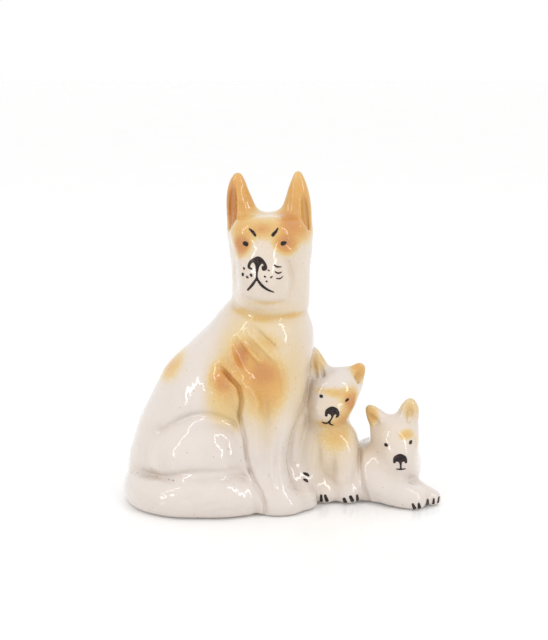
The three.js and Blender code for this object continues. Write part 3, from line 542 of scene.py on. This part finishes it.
def add_mesh(name, points, quads, normals=None):
    """A Blender object from the points that its quads use."""
    used, faces = np.unique(quads, return_inverse=True)
    faces = faces.reshape(quads.shape)
    mesh = bpy.data.meshes.new(name)
    mesh.vertices.add(len(used))
    mesh.vertices.foreach_set("co", (points[used] * MM).ravel())
    mesh.loops.add(faces.size)
    mesh.loops.foreach_set("vertex_index", faces.ravel())
    mesh.polygons.add(len(faces))
    mesh.polygons.foreach_set("loop_start", np.arange(len(faces)) * 4)
    mesh.polygons.foreach_set("use_smooth", np.ones(len(faces), bool))
    mesh.update(calc_edges=True)
    mesh.validate()
    if normals is not None:
        mesh.normals_split_custom_set_from_vertices(normals[used])
    piece = bpy.data.objects.new(name, mesh)
    bpy.context.scene.collection.objects.link(piece)
    return piece, used


# ---- Airbrushed colour -------------------------------------------------------------------------------------

# The three sprays, each puff given by its figure, centre, radii and strength. AMBER_PUFFS are the patches,
# BURNT_PUFFS their darkest parts, and OCHRE_PUFFS the pale mist round them.
AMBER_PUFFS = [
    (MOTHER, (-20.5, 0, 153), (9, 12, 17), 1.3),  # ears
    (MOTHER, (8, 0, 153), (9, 12, 17), 1.1),
    (MOTHER, (-24.5, 0, 149), (3, 12, 13), 0.5),
    (MOTHER, (-18, -8, 141), (8, 13, 5.5), 1.0),  # forehead
    (MOTHER, (-9, -13, 139), (9, 9, 5), 1.3),
    (MOTHER, (-7, -10, 141.5), (6, 13, 3.5), 0.6),
    (MOTHER, (3, -9, 141.5), (5.5, 13, 6), 1.6),
    (MOTHER, (5.5, -8, 141), (9.5, 13, 7), 1.5),
    (MOTHER, (11.5, -4, 136.5), (4, 12, 5.5), 0.5),
    (MOTHER, (-18.6, -15, 132.6), (4.8, 8, 6.8), 1.6),  # round the eyes
    (MOTHER, (1.4, -17, 134), (6.4, 8, 5.8), 1.6),
    (MOTHER, (-14.5, -18, 125.5), (3, 8, 6.5), 0.4),
    (MOTHER, (-18.5, -13, 99.6), (6, 10, 2), 0.6),  # neck
    (MOTHER, (-9, -20, 97.4), (9, 12, 2), 0.65),
    (MOTHER, (4.5, -16, 97.8), (8, 12, 1.8), 0.65),
    (MOTHER, (-8, -22, 105.5), (11, 8, 1.8), 0.4),  # under the chin
    (MOTHER, (-20, -24, 79), (8, 12, 10), 1.0),  # shoulder
    (MOTHER, (-9.5, -24, 70), (11, 12, 12), 1.15),
    (MOTHER, (-20, -24, 66), (9, 12, 9), 0.85),
    (MOTHER, (-8, -22, 86), (8.5, 10, 5), 0.55),
    (MOTHER, (-5, -24, 65), (8, 12, 10), 0.75),
    (MOTHER, (-10, -24, 56), (11, 12, 10), 0.65),
    (MOTHER, (-29, -22, 67.5), (7, 12, 9.5), 1.15),  # ribs
    (MOTHER, (-27, -22, 56), (8.5, 12, 8), 0.5),
    (MOTHER, (-56, 0, 72), (8.5, 18, 11), 0.85),  # back
    (MOTHER, (-22, -22, 45), (4, 8, 6), 0.35),
    (SITTING, (-6, -3, 70), (5, 8, 8), 0.7),  # ears
    (SITTING, (15, -4, 66), (5, 8, 6), 0.95),
    (SITTING, (9.5, -12, 53), (5, 9, 7.5), 1.3),  # right cheek
    (SITTING, (-4.5, -15, 58.6), (5, 8, 2), 0.4),  # brow
    (SITTING, (3, -16, 57.8), (5.5, 8, 2.8), 0.65),
    (SITTING, (5, -17, 46), (5, 7, 4.2), 0.8),  # muzzle
    (SITTING, (0.5, -17, 42.5), (8, 7, 2.5), 0.6),
    (SITTING, (2.5, -14, 35), (9, 9, 9.5), 0.75),  # chest
    (LYING, (-9.5, -5, 43.5), (4, 8, 6), 0.85),  # ears
    (LYING, (9.8, -5, 47), (5.5, 8, 7), 0.55),
    (LYING, (7, -15, 36.2), (4.6, 8, 2.6), 0.75),  # brow and temple
    (LYING, (12.5, -13, 31.5), (2.2, 7, 4), 0.35),
]
BURNT_PUFFS = [
    (MOTHER, (-24.5, 0, 149), (3, 12, 13), 1),
    (MOTHER, (3, -9, 141.5), (6, 13, 5.5), 1),
    (MOTHER, (-9, -12, 140.5), (6.5, 10, 3.5), 1),
    (MOTHER, (-19, -15, 132.5), (3.8, 8, 5.5), 1),
    (MOTHER, (1.6, -17, 134), (5, 8, 4.5), 0.8),
    (MOTHER, (-9.5, -24, 71), (7, 12, 6), 0.7),
    (MOTHER, (-20, -24, 79), (4, 12, 7), 0.8),
    (MOTHER, (-28.5, -22, 67), (5, 12, 6), 0.8),
    (SITTING, (9.5, -12, 52.5), (3.5, 8, 5.5), 1),
    (SITTING, (5, -17, 45.5), (4, 7, 3.5), 0.8),
]
OCHRE_PUFFS = [
    (MOTHER, (-18, -20, 86), (12, 14, 8), 0.45),
    (MOTHER, (-5, -4, 118), (26, 32, 60), 0.42),
    (MOTHER, (-16, -20, 72), (19, 14, 24), 0.75),
    (MOTHER, (-28, -22, 56), (10, 14, 13), 0.95),
    (MOTHER, (5, -14, 66), (9, 16, 26), 0.6),
    (MOTHER, (-10, -24, 48), (10, 10, 18), 0.5),
    (MOTHER, (-56, 0, 72), (16, 24, 14), 0.3),
    (MOTHER, (-8, -18, 98), (20, 14, 6), 0.35),
    (MOTHER, (-6, -12, 142), (18, 14, 6), 0.5),
    (SITTING, (0, -12, 30), (18, 16, 25), 0.5),
    (SITTING, (5, -12, 51), (11, 12, 8), 0.5),
    (LYING, (0, -12, 30), (18, 14, 18), 0.3),
]


def sprayed(points, puffs):
    """How much colour lies at each point. A puff has an even middle and a soft rim."""
    rim_power = 1.4
    left_bare = np.ones(len(points))
    for origin, centre, radii, strength in puffs:
        reach = ((points - np.array(origin) - centre) / radii)
        left_bare *= 1 - np.minimum(strength * np.exp(-(reach ** 2).sum(axis=1) ** rim_power), 1)
    return 1 - left_bare


def write_attribute(piece, name, values):
    """A number at each point of a piece, for its material to read."""
    piece.data.attributes.new(name, "FLOAT", "POINT").data.foreach_set("value", values.astype(np.float32))


# ---- Materials ---------------------------------------------------------------------------------------------

IVORY = (0.69, 0.61, 0.555, 1)
SHADED_IVORY = (0.63, 0.57, 0.52, 1)
OCHRE = (0.68, 0.49, 0.21, 1)
AMBER = (0.64, 0.33, 0.08, 1)
BURNT_AMBER = (0.55, 0.225, 0.06, 1)
# The next colour darkens the creases: partly glaze pooled in them, partly painted shade
POOLED_GLAZE_AND_SHADE = (0.74, 0.60, 0.42, 1)
BISCUIT = (0.80, 0.76, 0.70, 1)
IRON = (0.30, 0.14, 0.06, 1)
ENAMEL_BLACK = (0.010, 0.007, 0.008, 1)
ENAMEL_BROWN = (0.055, 0.027, 0.02, 1)
TABLE_GREY = (0.90, 0.90, 0.895, 1)
TABLE_WHITE = (0.93, 0.93, 0.925, 1)
TABLE_GLOW = (1, 0.99, 0.98, 1)

POOL_AND_SHADE_WEIGHT = 0.36          # how strongly the creases are darkened: partly glaze pooled there, partly painted shade
SPECKS_PER_METRE = 300.0
SPECK_WEIGHT = 0.5

# The glaze's long and short waves and the body's pores: length and height in metres.
SWELL = 0.013, 0.0008
RIPPLE = 0.0045, 0.00028
PORES = 0.0025, 0.00003


class Nodes:
    """Short names for the nodes of one material."""

    def __init__(self, name):
        self.material = bpy.data.materials.new(name)
        self.material.use_nodes = True
        self.tree = self.material.node_tree
        self.shader = self.tree.nodes["Principled BSDF"]
        self.place = self.node("ShaderNodeTexCoord").outputs["Object"]

    def node(self, kind, **inputs):
        made = self.tree.nodes.new(kind)
        for key, value in inputs.items():
            self.set(made.inputs[key.replace("_", " ")], value)
        return made

    def set(self, socket, value):
        """Links a socket to another, or gives it a value."""
        if isinstance(value, bpy.types.NodeSocket):
            self.tree.links.new(value, socket)
        else:
            socket.default_value = value

    def attribute(self, name):
        made = self.node("ShaderNodeAttribute")
        made.attribute_name = name
        return made.outputs["Fac"]

    def noise(self, size, detail=2, roughness=0.5):
        """Cloudy noise from 0 to 1, with features as large as size in metres."""
        return self.node("ShaderNodeTexNoise", Vector=self.place, Scale=1 / size, Detail=detail,
                         Roughness=roughness).outputs["Fac"]

    def math(self, operation, *values):
        """A sum, product or other operation on sockets or numbers."""
        made = self.tree.nodes.new("ShaderNodeMath")
        made.operation = operation
        for socket, value in zip(made.inputs, values):
            self.set(socket, value)
        return made.outputs[0]

    def ramp(self, value, low, high, to_low=0.0, to_high=1.0):
        """Value from low to high, smoothly mapped to the two ends."""
        made = self.node("ShaderNodeMapRange", Value=value, From_Min=low, From_Max=high, To_Min=to_low,
                         To_Max=to_high)
        made.interpolation_type = "SMOOTHSTEP"
        return made.outputs["Result"]

    def mix(self, amount, first, second, blend_type="MIX"):
        """The first colour where amount is 0, and the second, or their blend, where it is 1."""
        made = self.tree.nodes.new("ShaderNodeMix")
        made.data_type = "RGBA"
        made.blend_type = blend_type
        self.set(made.inputs[0], amount)
        self.set(made.inputs[6], first)
        self.set(made.inputs[7], second)
        return made.outputs[2]

    def bump(self, size, height, detail=2, normal=None):
        """Normals of a noisy surface with waves of a size and height in metres, on top of other normals."""
        made = self.node("ShaderNodeBump", Height=self.noise(size, detail), Distance=height, Strength=1.0)
        if normal is not None:
            self.set(made.inputs["Normal"], normal)
        return made.outputs["Normal"]


def glazed_porcelain():
    """Ivory porcelain with speckled airbrushed amber under a thick, slightly wavy clear glaze."""
    glaze = Nodes("glazed_porcelain")
    drops = glaze.noise(0.0011, detail=3, roughness=0.7)
    clouds = glaze.noise(0.009, detail=3)
    tone = glaze.mix(glaze.ramp(clouds, 0.35, 0.65, 0, 0.3), IVORY, SHADED_IVORY)
    ochre = glaze.math("MULTIPLY_ADD", drops, 0.4, glaze.math("ADD", glaze.attribute("ochre"), -0.2))
    tone = glaze.mix(glaze.ramp(ochre, 0.0, 1.0), tone, OCHRE)
    amber = glaze.math("MULTIPLY_ADD", drops, 0.7, glaze.math("ADD", glaze.attribute("amber"), -0.35))
    burnt = glaze.math("MULTIPLY_ADD", glaze.noise(0.012), 0.6, glaze.attribute("burnt"))
    stain = glaze.mix(glaze.ramp(burnt, 0.25, 1.2), AMBER, BURNT_AMBER)
    tone = glaze.mix(glaze.ramp(amber, 0.05, 0.6), tone, OCHRE)
    tone = glaze.mix(glaze.ramp(amber, 0.3, 1.1), tone, stain)
    # The creases are darkened: partly glaze pooled in them, partly painted shade where the folds fall in
    # shadow.
    tone = glaze.mix(glaze.math("MULTIPLY", glaze.attribute("pool_and_shade"), POOL_AND_SHADE_WEIGHT), tone, POOLED_GLAZE_AND_SHADE, "MULTIPLY")
    spots = glaze.node("ShaderNodeTexVoronoi", Vector=glaze.place, Scale=SPECKS_PER_METRE)
    chosen = glaze.node("ShaderNodeSeparateColor", Color=spots.outputs["Color"]).outputs["Red"]
    dot = glaze.ramp(spots.outputs["Distance"], 0.06, 0.15, 1, 0)
    speck = glaze.math("MULTIPLY", dot, glaze.ramp(chosen, 0.6, 0.9))
    tone = glaze.mix(glaze.math("MULTIPLY", speck, SPECK_WEIGHT), tone, IRON)
    foot = glaze.attribute("foot")
    glaze.set(glaze.shader.inputs["Base Color"], glaze.mix(foot, tone, BISCUIT))
    glaze.set(glaze.shader.inputs["Roughness"], glaze.ramp(foot, 0, 1, 0.25, 0.85))
    glaze.set(glaze.shader.inputs["Coat Weight"], glaze.math("SUBTRACT", 1.0, foot))
    glaze.shader.inputs["Coat Roughness"].default_value = 0.02
    glaze.shader.inputs["IOR"].default_value = 1.5
    glaze.shader.inputs["Specular IOR Level"].default_value = 0.2
    wave = glaze.bump(*RIPPLE, detail=1, normal=glaze.bump(*SWELL, detail=1))
    glaze.set(glaze.shader.inputs["Normal"], glaze.bump(*PORES, normal=wave))
    glaze.set(glaze.shader.inputs["Coat Normal"], wave)
    return glaze.material


def black_enamel():
    """Black enamel that turns brown where the brush left it thin."""
    enamel = Nodes("black_enamel")
    thin = enamel.ramp(enamel.noise(0.0012, detail=3), 0.4, 0.75)
    enamel.set(enamel.shader.inputs["Base Color"], enamel.mix(thin, ENAMEL_BLACK, ENAMEL_BROWN))
    enamel.set(enamel.shader.inputs["Roughness"], enamel.ramp(thin, 0, 1, 0.22, 0.4))
    enamel.shader.inputs["Specular IOR Level"].default_value = 0.15
    enamel.shader.inputs["Coat Weight"].default_value = 0.25
    enamel.shader.inputs["Coat Roughness"].default_value = 0.08
    enamel.set(enamel.shader.inputs["Normal"], enamel.bump(0.0015, 0.00008))
    return enamel.material


def white_floor():
    """A white, slightly mottled table with a polished top."""
    top = Nodes("white_floor")
    top.set(top.shader.inputs["Base Color"], top.mix(top.noise(0.08), TABLE_GREY, TABLE_WHITE))
    top.set(top.shader.inputs["Roughness"], top.ramp(top.noise(0.03), 0, 1, 0.45, 0.5))
    top.shader.inputs["Emission Color"].default_value = TABLE_GLOW
    top.shader.inputs["Emission Strength"].default_value = 0.05
    top.shader.inputs["Coat Weight"].default_value = 0.6
    top.shader.inputs["Coat Roughness"].default_value = 0.05
    return top.material


# ---- Enamel marks ------------------------------------------------------------------------------------------

ENAMEL_RISE = 0.3       # thickness of the enamel over the glaze
ENAMEL_SUNK = 0.3       # how deep it sits in the glaze
ENAMEL_EDGE = 0.45      # roundness of its rim
BRUSH_SPREAD = 1.12     # how much wider a stroke dries than the brush laid it
BRUSH_FILLET = 0.4      # where strokes run together

# Each mark: the figure, and its brush strokes as lines of (x, z, half width).
MARKS = {
    "mother_left_eye": (MOTHER, [[(-17.9, 133.7, 1.0), (-17.2, 133.5, 1.1)]]),
    "mother_right_eye": (MOTHER, [[(0.6, 133.9, 1.1), (1.4, 134.1, 0.8), (2.1, 134.2, 0.4)]]),
    "mother_left_brow": (MOTHER, [[(-15.6, 140.8, 0.4), (-13.9, 139.4, 0.7), (-12.8, 137.9, 0.6)]]),
    "mother_right_brow": (MOTHER, [[(-1.9, 141.2, 0.4), (-3, 139.6, 0.7), (-4.3, 138.2, 0.8)]]),
    "mother_nose_and_mouth": (MOTHER, [
        [(-14.7, 122.8, 0.6), (-15.8, 123.5, 0.7), (-15.1, 125.6, 0.7), (-13.1, 127.2, 0.7),
         (-11.3, 127.7, 0.8), (-9.6, 127, 0.7), (-8.1, 124.9, 0.75), (-7.8, 123.2, 0.8),
         (-9, 122.8, 0.6), (-9.2, 123.9, 0.5)],
        [(-13, 126.4, 0.9), (-12, 124.6, 0.7), (-11.9, 122, 0.5)],
        [(-9.9, 126.2, 0.9), (-11.3, 124.4, 0.7), (-11.9, 122, 0.5)],
        [(-11.4, 126.8, 1.2), (-11.7, 125, 1), (-11.9, 122, 0.5), (-12, 118.3, 0.5)],
        [(-11.9, 118.6, 0.5), (-14.1, 115.2, 0.65), (-16.4, 112.2, 0.5)],
        [(-11.9, 118.4, 0.5), (-10.1, 115.7, 0.7), (-7.2, 113.2, 0.6), (-3.9, 111.5, 0.35)]]),
    "mother_left_whisker_1": (MOTHER, [[(-18.3, 122.8, 0.45), (-18.1, 122.3, 0.5)]]),
    "mother_left_whisker_2": (MOTHER, [[(-18.8, 119.8, 0.6), (-18.8, 119.2, 0.6)]]),
    "mother_left_whisker_3": (MOTHER, [[(-16.8, 118.7, 0.55), (-16.4, 118.4, 0.55)]]),
    "mother_left_whisker_4": (MOTHER, [[(-14.8, 119.9, 0.65), (-14.6, 119.5, 0.6)]]),
    "mother_right_whisker_1": (MOTHER, [[(-6.6, 122.4, 0.35), (-6.1, 122.1, 0.4)]]),
    "mother_right_whisker_2": (MOTHER, [[(-8.2, 119.5, 0.5), (-7.9, 119.3, 0.45)]]),
    "mother_right_whisker_3": (MOTHER, [[(-5.2, 118.9, 0.45), (-4.6, 119.4, 0.35)]]),
    "mother_right_whisker_4": (MOTHER, [[(-7.4, 117.2, 0.45), (-7.1, 117, 0.45)]]),
    "mother_whisker_line_1": (MOTHER, [[(-3.6, 124.5, 0.35), (-2.2, 123.6, 0.45), (-0.3, 123.4, 0.3)]]),
    "mother_whisker_line_2": (MOTHER, [[(-3.2, 121.5, 0.3), (-1.8, 120.6, 0.45), (-0.1, 120.9, 0.3)]]),
    "mother_whisker_line_3": (MOTHER, [[(-2.6, 118.2, 0.3), (-0.9, 117.9, 0.4), (0.5, 118.7, 0.25)]]),
    "sitting_puppy_left_eye": (SITTING, [[(-4.5, 56.2, 0.8), (-4.2, 56.2, 0.8)]]),
    "sitting_puppy_right_eye": (SITTING, [[(7.9, 53.7, 0.5), (8.8, 54.3, 0.75)]]),
    "sitting_puppy_nose_and_mouth": (SITTING, [
        [(-1.9, 47.3, 0.7), (-1.6, 49.6, 0.7), (0.9, 50.9, 0.8), (3.3, 49.8, 0.8), (3.9, 47.6, 0.8),
         (3.2, 46.4, 0.5)],
        [(0, 49.4, 1.4), (2, 49.3, 1.5)],
        [(1.1, 48.6, 1.1), (1, 46.4, 0.5), (-0.3, 43.9, 0.5)],
        [(-3.8, 43.2, 0.4), (-2, 42.7, 0.55), (-0.2, 43.6, 0.5)],
        [(-0.4, 43.8, 0.5), (0.2, 42.3, 0.5), (1.6, 41.6, 0.4)]]),
    "lying_puppy_left_eye": (LYING, [[(-3, 31.6, 0.85), (-2.8, 31.6, 0.85)]]),
    "lying_puppy_right_eye": (LYING, [[(9.3, 32.8, 0.85), (9.5, 33, 0.8)]]),
    "lying_puppy_nose_and_mouth": (LYING, [
        [(1.1, 23.7, 0.7), (1.5, 26, 0.8), (3.9, 27.2, 0.9), (6.3, 26, 0.8), (6.9, 23.7, 0.7)],
        [(2.6, 25.4, 1.3), (5.2, 25.4, 1.3)],
        [(3.9, 25, 1.2), (4.2, 23, 0.6), (4.4, 20.3, 0.45)],
        [(2.3, 20, 0.35), (4.4, 19.8, 0.45), (6.7, 20, 0.35)]]),
    "sitting_puppy_forepaw_claw_1": (SITTING, [[(-13, 17.2, 0.4), (-11.7, 16.6, 0.75), (-10.4, 15.8, 0.5)]]),
    "sitting_puppy_forepaw_claw_2": (SITTING, [[(-13, 14.4, 0.35), (-11.8, 13.8, 0.6), (-10.9, 13.1, 0.4)]]),
    "sitting_puppy_left_hind_claw_1": (SITTING, [[(-4.1, 5.4, 0.6), (-4, 2.4, 0.85)]]),
    "sitting_puppy_left_hind_claw_2": (SITTING, [[(-2.1, 5.4, 0.7), (-1.2, 2.6, 0.95)]]),
    "sitting_puppy_right_hind_claw_1": (SITTING, [[(7.4, 3.6, 0.85), (8, 1.9, 1)]]),
    "sitting_puppy_right_hind_claw_2": (SITTING, [[(10.6, 4.9, 0.85), (11.6, 2.6, 0.95)]]),
    "sitting_puppy_right_hind_claw_3": (SITTING, [[(13.9, 5.2, 0.6), (14.3, 2.4, 0.8)]]),
    "lying_puppy_claw_1": (LYING, [[(10, 4, 0.6), (11, 1.7, 0.95)]]),
    "lying_puppy_claw_2": (LYING, [[(13, 4.2, 0.6), (13.5, 1.8, 0.95)]]),
    "lying_puppy_claw_3": (LYING, [[(18, 4.2, 0.6), (17.9, 1.8, 0.95)]]),
    "lying_puppy_claw_4": (LYING, [[(21.2, 4.2, 0.5), (21.1, 2, 0.7)]]),
    "lying_puppy_claw_5": (LYING, [[(24, 4.6, 0.45), (23.5, 2.2, 0.6)]]),
}


def front_of(field, x, z):
    """Y of the first skin that a line from the front meets, for each (x, z)."""
    steps = np.arange(GRID_LOW[1], cad_high[1], 0.5)
    line = np.stack(np.broadcast_arrays(x[:, None], steps, z[:, None]), axis=2)
    inside = sample(field, line.reshape(-1, 3)).reshape(line.shape[:2]) < 0
    return steps[inside.argmax(axis=1)]


def relaxed(points, quads, passes):
    """Points moved towards the middle of their neighbours."""
    ends = np.vstack([quads[:, [i, (i + 1) % 4]] for i in range(4)])
    for _ in range(passes):
        total = np.zeros_like(points)
        count = np.zeros(len(points))
        np.add.at(total, ends[:, 0], points[ends[:, 1]])
        np.add.at(count, ends[:, 0], 1)
        points = 0.4 * points + 0.6 * total / np.maximum(count, 1)[:, None]
    return points


def add_mark(name, origin, strokes, whole):
    """Brush strokes as one raised pad of enamel that follows the skin."""
    paths = [smooth_path(stroke, LINE_STEPS) + (origin[0], 0, 0) for stroke in strokes]
    rows = np.vstack(paths)
    front = front_of(whole, rows[:, 0], rows[:, 1])
    low = np.array([rows[:, 0].min() - 2, front.min() - 1.5, rows[:, 1].min() - 2])
    high = np.array([rows[:, 0].max() + 2, front.max() + 2, rows[:, 1].max() + 2])
    size = np.ceil((high - low) / MARK_VOXEL).astype(int)
    x, y, z = (low[i] + MARK_VOXEL * np.arange(size[i]) for i in range(3))
    outline = None
    for path in paths:
        stroke, _ = distance_to_path(x[:, None], z[None, :], path[:, :2], BRUSH_SPREAD * path[:, 2])
        outline = stroke if outline is None else melt(outline, stroke, BRUSH_FILLET)
    places = np.stack(np.meshgrid(x, y, z, indexing="ij"), axis=3).reshape(-1, 3)
    depth = sample(whole, places).reshape(size)
    layer = np.abs(depth - (ENAMEL_RISE - ENAMEL_SUNK) / 2) - (ENAMEL_RISE + ENAMEL_SUNK) / 2
    pad = trim(layer, outline[:, None, :], ENAMEL_EDGE)
    pad[:, [0, -1], :] = 1  # air at both ends, so that the pad closes
    points, quads, _ = net((pad < 0).astype(np.uint8), pad, low, MARK_VOXEL)
    mark, _ = add_mesh("mark_" + name, relaxed(points, quads[1], 3), quads[1])
    return mark


# ---- Building ----------------------------------------------------------------------------------------------

def present(piece, node, material):
    """A piece stands for its CAD node, and moves with the object."""
    piece.data.materials.append(material)
    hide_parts(node)
    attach(piece, "root")


pieces = {**mother_pieces(), **sitting_pieces(), **lying_pieces()}
whole = melt_together(pieces).astype(np.float32)
model_mother(whole)
model_puppies(whole)
stand_on_floor(whole)

# Each point inside belongs to the piece whose own field is lowest there.
nearest = np.full(GRID_SIZE, np.inf, np.float32)
labels = np.zeros(GRID_SIZE, np.uint8)
for number, clay in enumerate(pieces.values(), 1):
    closer = clay.field < nearest
    nearest[closer] = clay.field[closer]
    labels[closer] = number
labels[whole >= 0] = 0
points, quads, on_skin = net(labels, whole, GRID_LOW, VOXEL)
points[on_skin] = settle(points[on_skin], whole)
normals = gradient(whole, points, 0.8 * VOXEL)

POOL_AND_SHADE_REACH = 2.5                    # how far from the skin the folds are felt, for pooled glaze and painted shade
BARE_HEIGHT, BARE_FADE = 0.5, 0.4   # the foot's unglazed rim
paint = {
    "amber": sprayed(points, AMBER_PUFFS),
    "ochre": sprayed(points, OCHRE_PUFFS),
    "burnt": sprayed(points, BURNT_PUFFS),
    # How deep in a fold each point lies. It darkens the creases, partly for pooled glaze and partly as
    # painted shade.
    "pool_and_shade": np.clip(1 - sample(whole, points + POOL_AND_SHADE_REACH * normals) / POOL_AND_SHADE_REACH, 0, 1),
    "foot": np.clip((BARE_HEIGHT - points[:, 2]) / BARE_FADE, 0, 1),
}

porcelain = glazed_porcelain()
for number, node in enumerate(pieces, 1):
    piece, used = add_mesh("glazed_" + node, points, quads[number], normals)
    for name, values in paint.items():
        write_attribute(piece, name, values[used])
    present(piece, node, porcelain)

enamel = black_enamel()
for node, (origin, strokes) in MARKS.items():
    present(add_mark(node, origin, strokes, whole), node, enamel)


# ---- Floor, lights and camera ------------------------------------------------------------------------------

cad_middle = (cad_low + cad_high) / 2 * MM
height = (cad_high[2] - cad_low[2]) * MM
target = Vector((cad_middle[0] - 0.0044, cad_middle[1] + 0.0015, 0.55 * height))

# Metres, degrees and watts.
FLOOR = 4.0
STRIP_COLOUR = (0.94, 0.97, 1)
STRIP_POWER = 3.2
STRIP_SIZE = 0.1, 1.3
STRIP_LIFT, STRIP_DISTANCE = 34, 1.2
STRIP_TURNS = {"left_strip": -52, "right_strip": 50}
CAMERA_LIFT, CAMERA_DISTANCE = 12, 0.755
LENS, SENSOR = 85, 36               # millimetres

floor_mesh = bpy.data.meshes.new("floor")
floor_mesh.from_pydata([(-FLOOR, -FLOOR, 0), (FLOOR, -FLOOR, 0), (FLOOR, FLOOR, 0), (-FLOOR, FLOOR, 0)], [],
                       [(0, 1, 2, 3)])
floor = bpy.data.objects.new("floor", floor_mesh)
floor.data.materials.append(white_floor())
bpy.context.scene.collection.objects.link(floor)


def towards(azimuth, elevation, distance):
    """A point at angles from the front of the object, to the right and up."""
    turn, lift = math.radians(azimuth), math.radians(elevation)
    return target + distance * Vector((math.sin(turn) * math.cos(lift), -math.cos(turn) * math.cos(lift),
                                       math.sin(lift)))


def aim(thing, place):
    """Puts a lamp or camera in place, looking at the object."""
    thing.location = place
    thing.rotation_euler = (target - place).to_track_quat("-Z", "Y").to_euler()
    bpy.context.scene.collection.objects.link(thing)


for name, turn in STRIP_TURNS.items():
    lamp = bpy.data.lights.new(name, "AREA")
    lamp.shape = "RECTANGLE"
    lamp.size, lamp.size_y = STRIP_SIZE
    lamp.energy = STRIP_POWER
    lamp.color = STRIP_COLOUR
    aim(bpy.data.objects.new(name, lamp), towards(turn, STRIP_LIFT, STRIP_DISTANCE))

world = bpy.data.worlds.new("studio")
world.use_nodes = True
world.node_tree.nodes["Background"].inputs["Color"].default_value = (1, 1, 1, 1)
world.node_tree.nodes["Background"].inputs["Strength"].default_value = 1.0
bpy.context.scene.world = world
bpy.context.scene.view_settings.view_transform = "Standard"

camera_data = bpy.data.cameras.new("camera")
camera_data.lens = LENS
camera_data.sensor_width = SENSOR
camera = bpy.data.objects.new("camera", camera_data)
aim(camera, towards(0, CAMERA_LIFT, CAMERA_DISTANCE))
bpy.context.scene.camera = camera
